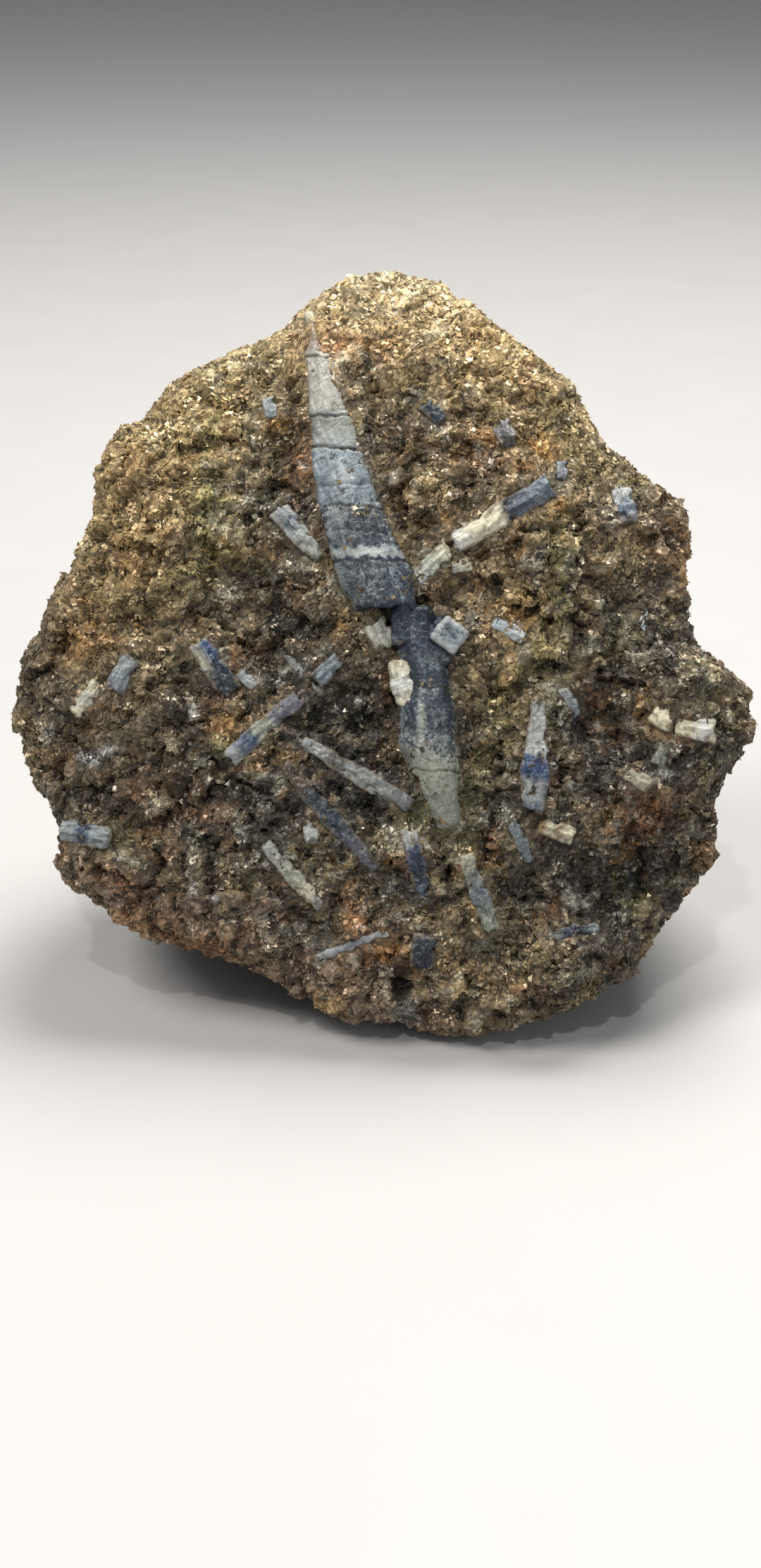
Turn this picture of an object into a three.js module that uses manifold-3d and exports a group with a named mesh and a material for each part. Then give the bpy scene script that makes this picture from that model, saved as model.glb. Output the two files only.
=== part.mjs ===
// Sapphire on muscovite: a hand specimen of mica schist, broken so that one long tapered sapphire and
// several dozen smaller ones lie bare on its front face. Millimetres, +Z up. The stone stands on a small
// natural flat, its broken face looks towards -Y and leans back, and the origin is the middle of its box
// at the foot.
import * as THREE from "three";
import { ImprovedNoise } from "three/addons/math/ImprovedNoise.js";
import { mergeVertices } from "three/addons/utils/BufferGeometryUtils.js";
import Module from "manifold-3d";

const wasm = await Module();
wasm.setup();
const noise = new ImprovedNoise();

// Driving dimensions of the stone
const FACE_LEAN = THREE.MathUtils.degToRad(25); // how far the broken face leans back from upright
const FACE_HEIGHT = 38.4; // height of the face's middle above the surface it stands on
const FACE_BULGE = 9; // how far the face stands in front of the stone's widest girth
const BACK_DEPTH = 35; // how far the back reaches behind that girth
const BACK_SAG = 0.3; // extra depth of the back at its foot, as a share, taken from it at the crown
const FACE_SQUARENESS = 3.1; // superellipse power across the face: 2 is round, more is flatter
const CROWN_SQUARENESS = 2.2; // the same where the weathered crown rolls over
const BACK_SQUARENESS = 2.5;
const MEAN_RADIUS = 38; // of the girth, for sharing the triangles out evenly
const SURFACE_DETAIL = 14; // subdivisions of the sphere that the stone's skin is drawn on
const FRONT_SHARE = 0.44; // share of the triangles that the face takes

// Relief of the broken rock
const LUMPS = { size: 11, depth: 2.3 };
const GRAINS = { size: 4.6, depth: 1.5 };
const LEDGES = { spacing: 8.5, depth: 2.1, waviness: 0.55, waveSize: 19 };
const FOLIATION = new THREE.Vector3(0.32, 0.75, -0.58).normalize(); // across the mica layers

// Seating of the crystals
const SEAT_GAP = 0.3; // free space between a crystal and the rock that holds it
const CRYSTAL_FLATNESS = 0.86; // a crystal's thickness out of the face, as a share of its width
const CRYSTAL_WEAR = 0.16; // how uneven the sides of a crystal are, as a share of its width
const END_SLANT = 0.5; // how far the corners of a crystal's end stand apart, as a share of its width
const COLLAR_REACH = 2.4; // half widths over which rough rock settles to a crystal's own level

// The stone's girth, seen square on to the face: [across, up] in the plane of the face
const GIRTH = [
  [-0.4, 42.6], [2.7, 42.4], [7.7, 40.7], [12.8, 36.7], [17.4, 32.7], [21.4, 29.8], [23.1, 25.2],
  [25.6, 22.3], [28.8, 19.8], [32.0, 17.3], [34.8, 14.9], [34.0, 11.8], [34.1, 7.5], [34.0, 4.4],
  [35.2, 0.3], [38.0, -2.0], [40.3, -5.4], [40.5, -10.0], [38.2, -14.0], [36.5, -17.2], [37.0, -20.9],
  [34.6, -26.0], [30.5, -31.2], [27.4, -35.2], [23.7, -38.0], [18.5, -40.4], [13.3, -41.9],
  [9.4, -42.7], [2.5, -41.1], [-2.1, -40.6], [-7.8, -37.5], [-11.8, -35.8], [-19.3, -32.7],
  [-27.3, -30.6], [-33.0, -26.6], [-35.8, -23.0], [-35.3, -19.8], [-37.3, -15.7], [-38.6, -11.2],
  [-40.0, -7.7], [-40.0, -3.7], [-38.8, 0.9], [-36.5, 5.5], [-33.6, 10.6], [-31.9, 16.3],
  [-31.3, 20.4], [-29.0, 23.8], [-24.6, 27.4], [-22.1, 30.7], [-17.6, 33.0], [-12.4, 35.0],
  [-8.4, 38.1], [-5.5, 40.7],
];

// Swells and hollows of the face: [across, up, reach, height], a hollow's height being negative
const FACE_FORMS = {
  hollowBesideMainCrystal: [-2.4, -7.8, 4.6, -2.8],
  upperLeftHollow: [-14, 16, 6.5, -1.5],
  leftHollow: [-13, 3, 8.5, -2.2],
  leftShoulder: [-25, 10, 7.5, 1.5],
  goldenSwell: [9, 17, 8, 1.2],
  upperRightTrough: [26.5, 4, 5.5, -2.8],
  rightTrough: [24.5, -8.5, 5.5, -3.2],
  rightLump: [34.5, -6.5, 5, 3.4],
  lowerRightShelf: [28, -16, 5.5, 3],
  lowerRightRecess: [27, -25, 7, -4],
  footKnob: [22.5, -34, 4.6, 3.8],
  footSwell: [9, -35, 7, 1.4],
  footCavity: [2.7, -36.2, 2.1, -3.4],
  lowerLeftHollow: [-22, -18, 7, -1.8],
};

// The long sapphire lies in two stretches that meet at a step, each a list of [across, up, half width]
const UPPER_STRETCH = [
  [-7.9, 37.0, 0.4], [-7.0, 32.0, 1.1], [-6.3, 31.2, 1.5], [-5.6, 25.2, 2.0], [-5.5, 24.9, 1.85],
  [-5.3, 24.5, 2.05], [-4.8, 21.0, 2.25], [-4.7, 20.7, 2.1], [-4.6, 20.4, 2.3], [-3.3, 15.1, 2.8],
  [-3.2, 14.8, 2.65], [-3.0, 14.4, 2.9], [-2.0, 10.1, 3.2], [-0.9, 7.0, 3.8], [0.1, 4.6, 3.2],
];
const LOWER_STRETCH = [
  [3.5, 5.4, 1.9], [4.1, -0.2, 2.2], [5.1, -4.0, 2.2], [5.0, -4.4, 2.1], [4.8, -6.7, 2.9],
  [5.1, -10.1, 2.8], [5.9, -12.9, 2.2], [6.1, -13.3, 2.0], [6.6, -15.7, 1.6], [7.3, -18.9, 1.0],
];
const SIDE_SHOOT = [[5.2, -2.0, 1.5], [7.6, 2.2, 1.9]]; // grown out of the long sapphire's flank
const SHOOT_LIFT = 1.1; // how far the shoot's free end stands up from the face

// The smaller sapphires of the face: from and to are [across, up], halfWidths run from one end to the
// other, lift raises [the first, the last] end out of the face
const FACE_CRYSTALS = {
  right_branch_stub: { from: [3.9, 7.4], to: [7.2, 10.6], halfWidths: [0.9, 1.1] },
  right_branch: { from: [7.9, 11.0], to: [18.1, 17.5], halfWidths: [1.3, 1.4, 1.6] },
  pale_block: { from: [-0.6, 2.6], to: [0.9, 0.2], halfWidths: [1.4, 1.3] },
  white_grain: { from: [1.5, -2.0], to: [2.2, -6.1], halfWidths: [0.9, 1.0, 0.7] },
  left_prism: { from: [-19.5, 0.6], to: [-16.1, -4.6], halfWidths: [1.4, 1.3], lift: [0.8, 0] },
  left_prism_tip: { from: [-15.2, -2.6], to: [-13.4, -4.2], halfWidths: [0.7, 0.6] },
  left_pale_block: { from: [-26.7, -0.9], to: [-28.5, -4.4], halfWidths: [1.1, 1.3] },
  left_pale_chip: { from: [-30.2, -3.9], to: [-32.9, -6.7], halfWidths: [0.8, 0.8] },
  long_needle: { from: [-8.3, -10.0], to: [3.2, -16.8], halfWidths: [0.7, 1.0, 1.1, 0.9], lift: [0.3, 0.3] },
  dark_needle: { from: [-10.4, -12.3], to: [-0.5, -23.6], halfWidths: [0.8, 1.1, 1.1, 0.6] },
  crossing_prism: { from: [-8.8, -5.3], to: [-16.2, -11.7], halfWidths: [1.0, 1.1, 1.2] },
  lower_left_prism: { from: [-12.3, -20.9], to: [-6.5, -27.7], halfWidths: [0.8, 1.0, 0.8], lift: [0.4, 0] },
  blue_spike: { from: [3.2, -19.4], to: [4.6, -26.6], halfWidths: [1.1, 1.0, 0.8] },
  lower_right_prism: { from: [9.1, -22.1], to: [11.9, -30.2], halfWidths: [0.9, 1.1, 1.0] },
  right_prism: { from: [16.9, -5.8], to: [16.3, -17.2], halfWidths: [0.9, 1.1, 1.8, 1.3], lift: [0, 0.5] },
  cream_chip: { from: [17.2, -18.9], to: [20.6, -20.2], halfWidths: [1.0, 1.0], lift: [0.3, 0.7] },
  cream_prism: { from: [31.7, -8.4], to: [35.3, -8.8], halfWidths: [1.0, 1.3], lift: [0.3, 0.6] },
  cream_prism_root: { from: [29.2, -7.1], to: [30.9, -8.1], halfWidths: [1.0, 0.8] },
  pale_wedge: { from: [30.5, -10.4], to: [29.4, -12.6], halfWidths: [0.7, 0.8] },
  cream_grain: { from: [26.4, -13.4], to: [28.7, -14.8], halfWidths: [0.8, 0.9], lift: [0.4, 0.4] },
  grey_lens: { from: [14.2, -18.6], to: [15.9, -22.8], halfWidths: [0.6, 0.8, 0.5] },
  left_rim_prism: { from: [-34.4, -19.4], to: [-29.2, -20.4], halfWidths: [1.3, 1.3, 1.2], lift: [1.3, 0.2] },
  foot_block: { from: [4.8, -30.6], to: [4.5, -34.0], halfWidths: [1.4, 1.4], lift: [0.3, 0.3] },
  foot_needle: { from: [-7.0, -33.2], to: [0.9, -30.4], halfWidths: [0.5, 0.5] },
  knob_spar: { from: [17.8, -30.6], to: [23.3, -30.2], halfWidths: [0.6, 0.8, 0.6] },
  upper_left_prism: { from: [-10.9, 14.9], to: [-6.4, 9.7], halfWidths: [1.4, 1.2, 0.9] },
  lilac_end: { from: [13.0, 24.2], to: [13.8, 22.0], halfWidths: [1.2, 1.1], lift: [-0.6, 0.8] },
  small_end: { from: [19.6, 20.2], to: [19.5, 18.2], halfWidths: [0.7, 0.6] },
  right_blue_end: { from: [26.0, 17.2], to: [26.8, 13.7], halfWidths: [1.3, 1.1], lift: [0, 0.5] },
  crown_end: { from: [-12.3, 27.2], to: [-11.7, 24.9], halfWidths: [0.8, 0.7] },
  dark_end: { from: [4.8, 26.2], to: [6.6, 24.4], halfWidths: [0.9, 0.8] },
  amber_side_chip: { from: [12.2, 2.8], to: [15.3, 1.0], halfWidths: [0.7, 0.8] },
  tiny_block: { from: [7.6, 8.4], to: [9.8, 8.9], halfWidths: [0.7, 0.7] },
  grey_block: { from: [-4.5, -1.2], to: [-6.9, -3.5], halfWidths: [0.9, 1.0], lift: [0.2, 0.6] },
  thin_blade: { from: [-10.2, -0.5], to: [-6.3, -5.0], halfWidths: [0.5, 0.5] },
  low_left_chip: { from: [-28.2, -22.2], to: [-25.2, -23.4], halfWidths: [0.6, 0.6] },
  pebble_end: { from: [-7.8, -18.9], to: [-7.2, -20.7], halfWidths: [0.8, 0.8], lift: [-0.5, 0.8] },
  right_grey_tip: { from: [19.7, -4.3], to: [21.1, -7.2], halfWidths: [0.7, 0.6] },
  upper_right_sliver: { from: [28.9, 4.5], to: [28.3, 2.2], halfWidths: [0.5, 0.5] },
};

// Sapphires in the back and flanks: bearing is round the girth from its right-hand side, behind is how
// far towards the back from the girth (0) to the middle of the back (90), both in degrees; turn is the
// crystal's own heading on the rock
const BACK_CRYSTALS = {
  back_long_prism: { bearing: 118, behind: 62, turn: 62, length: 19, halfWidth: 1.7 },
  back_blue_prism: { bearing: 20, behind: 52, turn: 140, length: 12, halfWidth: 1.5 },
  back_pale_needle: { bearing: 205, behind: 48, turn: 15, length: 14, halfWidth: 0.9 },
  back_stub: { bearing: 300, behind: 66, turn: 100, length: 6.5, halfWidth: 1.6 },
  left_flank_prism: { bearing: 170, behind: 24, turn: 75, length: 9, halfWidth: 1.1 },
  right_flank_prism: { bearing: 342, behind: 26, turn: 110, length: 8, halfWidth: 1.3 },
  crown_prism: { bearing: 74, behind: 30, turn: 25, length: 7.5, halfWidth: 1.0 },
};
const BACK_SECTIONS = [[-0.5, 0.82], [0, 1], [0.5, 0.8]]; // [share of the length, share of the width]

const COLOURS = {
  rock: 0x6e5a3e,
  blueGrey: 0x6f7c92,
  pale: 0xaeb3a6,
  navy: 0x39445f,
  cream: 0xc9c3a0,
};
const NAVY = ["left_prism", "blue_spike", "foot_block", "dark_end", "knob_spar"];
const BLUE_GREY = ["dark_needle", "crossing_prism", "right_prism", "left_rim_prism", "back_blue_prism",
  "back_long_prism"];
const CREAM = ["cream_chip", "cream_prism", "cream_prism_root", "cream_grain", "white_grain"];

const FACE_OUT = new THREE.Vector3(0, 0, 1);
const smooth = THREE.MathUtils.smoothstep;
const lerp = THREE.MathUtils.lerp;

// Girth radius at any bearing, read off a closed smooth curve through GIRTH
const girthCurve = new THREE.CatmullRomCurve3(
  GIRTH.map(([across, up]) => new THREE.Vector3(across, up, 0)), true, "centripetal",
);
const girthTable = girthCurve
  .getPoints(GIRTH.length * 8)
  .map((p) => ({ bearing: Math.atan2(p.y, p.x), radius: Math.hypot(p.x, p.y) }))
  .sort((a, b) => a.bearing - b.bearing);

function girthRadius(bearing) {
  const next = girthTable.findIndex((entry) => entry.bearing > bearing);
  if (next <= 0) return girthTable[0].radius;
  const [before, after] = [girthTable[next - 1], girthTable[next]];
  const share = (bearing - before.bearing) / Math.max(after.bearing - before.bearing, 1e-9);
  return lerp(before.radius, after.radius, share);
}

// The face gets rounder towards the weathered crown
function squarenessAt(bearing) {
  const crown = smooth(Math.sin(bearing), 0.1, 0.95);
  return lerp(FACE_SQUARENESS, CROWN_SQUARENESS, crown);
}

// How far the face stands out at a place on it, without the fine roughness
function faceLevel(across, up) {
  const bearing = Math.atan2(up, across);
  const share = Math.min(Math.hypot(across, up) / girthRadius(bearing), 1);
  const power = squarenessAt(bearing);
  let level = FACE_BULGE * (1 - share ** power) ** (1 / power);
  const inside = smooth(1 - share, 0, 0.12);
  for (const [a, u, reach, height] of Object.values(FACE_FORMS)) {
    const away = ((across - a) ** 2 + (up - u) ** 2) / reach ** 2;
    level += inside * height * Math.exp(-away);
  }
  return level;
}

function roughness(point, { size, depth }) {
  return depth * noise.noise(point.x / size + 7.3, point.y / size + 2.9, point.z / size + 5.1);
}

// Broken edges of the mica layers: steps that climb slowly and drop at once
function ledge(point) {
  const { spacing, depth, waviness, waveSize } = LEDGES;
  const wave = noise.noise(point.x / waveSize, point.y / waveSize, point.z / waveSize);
  const along = point.dot(FOLIATION) / spacing + waviness * wave;
  const share = along - Math.floor(along);
  return depth * (share - smooth(share, 0.78, 1) - 0.35);
}

// Latitudes of a superellipse that share its skin evenly: entries of {latitude, share of the area}
// from the pole (90 degrees) to the girth (0)
function evenLatitudes(power, depth) {
  const steps = 400;
  const entries = [];
  let area = 0;
  let before = { across: 0, out: depth };
  for (let step = 0; step <= steps; step += 1) {
    const latitude = (1 - step / steps) * (Math.PI / 2);
    const across = MEAN_RADIUS * Math.cos(latitude) ** (2 / power);
    const out = depth * Math.sin(latitude) ** (2 / power);
    area += (across + before.across) * Math.hypot(across - before.across, out - before.out);
    entries.push({ latitude, area });
    before = { across, out };
  }
  return entries.map((entry) => ({ latitude: entry.latitude, share: entry.area / area }));
}

const frontLatitudes = evenLatitudes(FACE_SQUARENESS, FACE_BULGE);
const backLatitudes = evenLatitudes(BACK_SQUARENESS, BACK_DEPTH);

function latitudeAtShare(entries, share) {
  const next = Math.max(entries.findIndex((entry) => entry.share >= share), 1);
  const [before, after] = [entries[next - 1], entries[next]];
  const part = (share - before.share) / (after.share - before.share);
  return lerp(before.latitude, after.latitude, THREE.MathUtils.clamp(part, 0, 1));
}

// The skin's latitude, positive in front, for a height from -1 to 1 on the unit sphere
function latitudeFor(height) {
  const frontEdge = 1 - 2 * FRONT_SHARE;
  if (height >= frontEdge) return latitudeAtShare(frontLatitudes, (1 - height) / (1 - frontEdge));
  return -latitudeAtShare(backLatitudes, (1 + height) / (1 + frontEdge));
}

// A point of the stone's skin before roughness: bearing round the girth, latitude from -90 (the middle
// of the back) to 90 degrees (the middle of the face)
function skinPoint(bearing, latitude) {
  const front = latitude > 0;
  const power = front ? squarenessAt(bearing) : BACK_SQUARENESS;
  const radius = girthRadius(bearing) * Math.abs(Math.cos(latitude)) ** (2 / power);
  const [across, up] = [radius * Math.cos(bearing), radius * Math.sin(bearing)];
  if (front) return new THREE.Vector3(across, up, faceLevel(across, up));
  const sag = 1 - (BACK_SAG * up) / GIRTH[0][1];
  const out = -BACK_DEPTH * sag * Math.abs(Math.sin(latitude)) ** (2 / power);
  return new THREE.Vector3(across, up, out);
}

// Sections of a crystal as {at, halfWidth}, in the frame of the face: across, up, out
function faceSections({ from, to, halfWidths, lift = [0, 0] }) {
  const ends = [faceLevel(...from) + lift[0], faceLevel(...to) + lift[1]];
  return halfWidths.map((halfWidth, i) => {
    const share = i / (halfWidths.length - 1);
    const at = new THREE.Vector3(
      lerp(from[0], to[0], share), lerp(from[1], to[1], share), lerp(ends[0], ends[1], share),
    );
    return { at, halfWidth };
  });
}

// The long sapphire's stretches are nearly straight, and keep the level of their two ends
function stretchSections(stretch) {
  const [first, last] = [stretch[0], stretch[stretch.length - 1]];
  const sunk = 0.3;
  const bow = 0.9;
  const ends = [faceLevel(first[0], first[1]) - sunk, faceLevel(last[0], last[1]) + sunk];
  return stretch.map(([across, up, halfWidth]) => {
    const share = (first[1] - up) / (first[1] - last[1]);
    const out = lerp(ends[0], ends[1], share) + bow * Math.sin(Math.PI * share);
    return { at: new THREE.Vector3(across, up, out), halfWidth };
  });
}

// Place and heading of a crystal in the back, half sunk in the rock
function backSections({ bearing, behind, turn, length, halfWidth }) {
  const [b, l] = [bearing, -behind].map(THREE.MathUtils.degToRad);
  const step = 0.03;
  const centre = skinPoint(b, l);
  const around = skinPoint(b + step, l).sub(centre).normalize();
  const backward = skinPoint(b, l - step).sub(centre).normalize();
  const outward = new THREE.Vector3().crossVectors(backward, around).normalize();
  if (outward.dot(centre) < 0) outward.negate();
  const heading = THREE.MathUtils.degToRad(turn);
  const axis = around.multiplyScalar(Math.cos(heading))
    .addScaledVector(backward, Math.sin(heading))
    .normalize();
  const sections = BACK_SECTIONS.map(([along, width]) => ({
    at: centre.clone().addScaledVector(axis, length * along),
    halfWidth: halfWidth * width,
  }));
  return { sections, outward };
}

// A three.js geometry as a solid, after its shared vertices are merged
function solidOf(geometry, reshape = (point) => point) {
  geometry.deleteAttribute("normal");
  geometry.deleteAttribute("uv");
  const merged = mergeVertices(geometry, 1e-4);
  const position = merged.getAttribute("position");
  const vertProperties = new Float32Array(position.count * 3);
  for (let i = 0; i < position.count; i += 1) {
    reshape(new THREE.Vector3().fromBufferAttribute(position, i)).toArray(vertProperties, i * 3);
  }
  const triVerts = new Uint32Array(merged.getIndex().array);
  return new wasm.Manifold(new wasm.Mesh({ numProp: 3, vertProperties, triVerts }));
}

// A six-sided crystal through its sections, grown by `clearance` where it cuts its own seat
function crystalRun(sections, seed, outward, clearance) {
  const last = sections.length - 1;
  const axis = sections[last].at.clone().sub(sections[0].at).normalize();
  const side = new THREE.Vector3().crossVectors(axis, outward).normalize();
  const top = new THREE.Vector3().crossVectors(side, axis).normalize();
  const turn = Math.PI / 6 + 0.5 * noise.noise(seed * 3.7, 1.3, 0.4);
  const prism = new THREE.CylinderGeometry(1, 1, last, 6, last);
  return solidOf(prism, (corner) => {
    const ring = Math.round(last / 2 - corner.y);
    const { at, halfWidth } = sections[ring];
    const end = Math.sign(ring - last / 2) * (ring === 0 || ring === last ? 1 : 0);
    const angle = Math.atan2(corner.x, corner.z);
    const edge = Math.hypot(corner.x, corner.z);
    const wear = 1 + CRYSTAL_WEAR * noise.noise(seed * 9.1 + angle * 2.3, ring * 1.7 + 0.5, seed);
    const radius = edge * (halfWidth * wear + clearance);
    const slant = end * END_SLANT * halfWidth * edge * noise.noise(seed * 5.3 + angle, 4.2, end * 2.1);
    return at.clone()
      .addScaledVector(side, radius * Math.cos(angle + turn))
      .addScaledVector(top, radius * CRYSTAL_FLATNESS * Math.sin(angle + turn))
      .addScaledVector(axis, slant + end * clearance);
  });
}

function crystalSolid({ runs, seed, outward }, clearance) {
  return runs
    .map((sections, i) => crystalRun(sections, seed + i, outward, clearance))
    .reduce((all, next) => all.add(next));
}

// 0 on a crystal, rising to 1 where the rock is free of every crystal
function freedomFromCrystals(point, stretches) {
  const line = new THREE.Line3();
  const nearest = new THREE.Vector3();
  let freedom = 1;
  for (const [start, end] of stretches) {
    line.set(start.at, end.at).closestPointToPoint(point, true, nearest);
    const halfWidth = Math.max(start.halfWidth, end.halfWidth);
    const away = Math.hypot(point.x - nearest.x, point.y - nearest.y) / halfWidth;
    freedom = Math.min(freedom, smooth(away, 0.9, COLLAR_REACH));
  }
  return freedom;
}

// The stone: a sphere of triangles drawn out to the girth, the face and the back
function rockSolid(stretches) {
  return solidOf(new THREE.IcosahedronGeometry(1, SURFACE_DETAIL), (onSphere) => {
    const bearing = Math.atan2(onSphere.y, onSphere.x);
    const latitude = latitudeFor(onSphere.z);
    const point = skinPoint(bearing, latitude);
    const facing = smooth(latitude, 0.1, 0.7);
    const behind = smooth(-latitude, 0.02, 0.35);
    const flank = (1 - facing) * (1 - behind);
    const rough = roughness(point, LUMPS) + roughness(point, GRAINS);
    const free = facing > 0 ? freedomFromCrystals(point, stretches) : 1;
    const outward = new THREE.Vector3(Math.cos(bearing), Math.sin(bearing), 0);
    const sideways = behind * (rough + ledge(point)) + flank * rough * 0.35;
    const backwards = behind * (rough + ledge(point)) * Math.abs(Math.sin(latitude));
    point.addScaledVector(outward, sideways * Math.cos(latitude));
    point.z += facing * rough * free - backwards;
    return point;
  });
}

function largestBody(solid) {
  return solid.decompose().sort((a, b) => b.volume() - a.volume())[0];
}

// Every crystal as {name, runs of sections, outward, seed}
const crystals = [];
function addCrystal(name, runs, outward) {
  crystals.push({ name, runs, outward, seed: crystals.length * 1.618 + 0.3 });
}

const shoot = SIDE_SHOOT.map(([across, up, halfWidth], i) => ({
  at: new THREE.Vector3(across, up, faceLevel(across, up) + SHOOT_LIFT * i), halfWidth,
}));
addCrystal("main_sapphire", [...[UPPER_STRETCH, LOWER_STRETCH].map(stretchSections), shoot], FACE_OUT);
for (const [name, shape] of Object.entries(FACE_CRYSTALS)) {
  addCrystal(name, [faceSections(shape)], FACE_OUT);
}
for (const [name, shape] of Object.entries(BACK_CRYSTALS)) {
  const { sections, outward } = backSections(shape);
  addCrystal(name, [sections], outward);
}

// From the frame of the face (across, up, out) to the stone's own frame, foot at z = 0
const faceToStone = new THREE.Matrix4()
  .makeTranslation(0, 0, FACE_HEIGHT)
  .multiply(new THREE.Matrix4().makeRotationX(Math.PI / 2 - FACE_LEAN));
const inStoneFrame = (solid) => solid.transform(faceToStone.elements);

// Seats are cut in the rock, and a crystal is cut back where it meets one already placed
const belowFoot = solidOf(new THREE.BoxGeometry(200, 200, 100).translate(0, 0, -50));
const placed = [];
let seats = null;
for (const crystal of crystals) {
  const whole = inStoneFrame(crystalSolid(crystal, 0)).subtract(belowFoot);
  const solid = largestBody(seats ? whole.subtract(seats) : whole);
  const seat = inStoneFrame(crystalSolid(crystal, SEAT_GAP));
  seats = seats ? seats.add(seat) : seat;
  placed.push({ name: crystal.name, solid });
}
const stretches = crystals.flatMap(({ runs }) =>
  runs.flatMap((sections) => sections.slice(1).map((end, i) => [sections[i], end])));
const rock = largestBody(inStoneFrame(rockSolid(stretches)).subtract(belowFoot).subtract(seats));

function meshOf(name, solid, colour, surfaceRoughness) {
  const { vertProperties, triVerts, numProp } = solid.getMesh();
  const positions = new Float32Array(triVerts.length * 3);
  triVerts.forEach((vertex, i) => {
    positions.set(vertProperties.subarray(vertex * numProp, vertex * numProp + 3), i * 3);
  });
  const geometry = new THREE.BufferGeometry();
  geometry.setAttribute("position", new THREE.BufferAttribute(positions, 3));
  geometry.computeVertexNormals();
  const material = new THREE.MeshStandardMaterial({
    color: colour, roughness: surfaceRoughness, metalness: 0, flatShading: true,
  });
  const mesh = new THREE.Mesh(geometry, material);
  mesh.name = name;
  return mesh;
}

function crystalColour(name) {
  if (name === "main_sapphire" || BLUE_GREY.includes(name)) return COLOURS.blueGrey;
  if (NAVY.includes(name)) return COLOURS.navy;
  return CREAM.includes(name) ? COLOURS.cream : COLOURS.pale;
}

const specimen = new THREE.Group();
specimen.add(meshOf("muscovite_matrix", rock, COLOURS.rock, 0.75));
for (const { name, solid } of placed) {
  const nodeName = name === "main_sapphire" ? name : `sapphire_${name}`;
  specimen.add(meshOf(nodeName, solid, crystalColour(name), 0.4));
}

// The origin is the middle of the specimen's box, at its foot
const box = new THREE.Box3().setFromObject(specimen);
const middle = box.getCenter(new THREE.Vector3());
specimen.position.set(-middle.x, -middle.y, -box.min.z);

export default specimen;
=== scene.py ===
"""Sapphire on muscovite, dressed for its picture.

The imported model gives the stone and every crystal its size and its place. This script gives them their
surfaces: broken, layered rock under thousands of mica flakes, and streaked, cracked sapphires with their
colour zones. Lengths named in millimetres are in the frame of the broken face: across to the right, up
along the face, out towards the viewer, all from the middle of the face.
"""

import logging
import math
from dataclasses import dataclass, field
from enum import Enum
from functools import reduce

import bmesh
import bpy
import numpy as np
from mathutils import Matrix, Vector, noise
from mathutils.bvhtree import BVHTree

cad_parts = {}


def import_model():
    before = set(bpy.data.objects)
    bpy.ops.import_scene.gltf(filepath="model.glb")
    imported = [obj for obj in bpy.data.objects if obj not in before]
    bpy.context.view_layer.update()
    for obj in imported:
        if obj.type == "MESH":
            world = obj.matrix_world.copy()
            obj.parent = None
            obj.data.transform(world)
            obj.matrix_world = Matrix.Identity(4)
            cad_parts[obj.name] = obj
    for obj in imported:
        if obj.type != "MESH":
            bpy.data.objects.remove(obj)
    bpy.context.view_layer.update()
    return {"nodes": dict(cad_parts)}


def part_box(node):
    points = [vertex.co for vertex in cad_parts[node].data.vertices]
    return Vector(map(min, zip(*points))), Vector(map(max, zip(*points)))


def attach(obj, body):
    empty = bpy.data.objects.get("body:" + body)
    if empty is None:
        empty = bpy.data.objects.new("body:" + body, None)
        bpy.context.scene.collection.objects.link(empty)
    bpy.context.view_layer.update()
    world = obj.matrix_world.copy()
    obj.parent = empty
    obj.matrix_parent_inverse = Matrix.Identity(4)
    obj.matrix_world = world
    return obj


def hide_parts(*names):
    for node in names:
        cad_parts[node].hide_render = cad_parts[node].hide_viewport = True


Array = np.ndarray
Material = bpy.types.Material
Mesh = bpy.types.Mesh
Node = bpy.types.Node
Piece = bpy.types.Object
Socket = bpy.types.NodeSocket
Tree = bpy.types.NodeTree

log = logging.getLogger("specimen")
MM = 0.001
STONE = "muscovite_matrix"
LONG_SAPPHIRE = "main_sapphire"
BODY = "root"
ROCK_SLOT = "mica_schist"
MIDDLE = (0.5, 0.5, 0.5)
NO_MOVE = (0.0, 0.0, 0.0)
FAR = 6.0
CLEAN_CRYSTAL = "crystal_white_grain"


class Tone(Enum):
    """Named colours of the specimen and the studio, as display red, green and blue from 0 to 255."""

    DARK_BROWN = (46, 41, 34)
    BROWN = (100, 88, 69)
    BRONZE = (138, 118, 86)
    GOLD = (186, 166, 120)
    PALE_GOLD = (216, 206, 176)
    PALE_MICA = (168, 166, 150)
    RUST = (134, 88, 52)
    AMBER = (176, 132, 72)
    OLIVE = (122, 118, 70)
    CHARCOAL = (42, 40, 38)
    GREY_BROWN = (90, 84, 74)
    ROSE_BROWN = (122, 102, 86)
    WHITE = (204, 206, 202)
    CHALK = (174, 172, 161)
    PALE = (168, 173, 170)
    PALE_GREEN = (160, 165, 147)
    SAGE = (134, 139, 127)
    CREAM = (208, 202, 174)
    ICE = (144, 156, 162)
    BLUE_GREY = (105, 117, 127)
    LILAC = (122, 124, 135)
    STEEL = (76, 88, 102)
    BLUE = (62, 83, 124)
    NAVY = (20, 28, 42)
    FLOOR = (172, 171, 170)

    def linear(self) -> Array:
        """Return the colour as linear red, green, blue and alpha."""
        shown = np.array(self.value, float) / 255
        return np.append(np.where(shown <= 0.04045, shown / 12.92, ((shown + 0.055) / 1.055) ** 2.4), 1.0)


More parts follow.
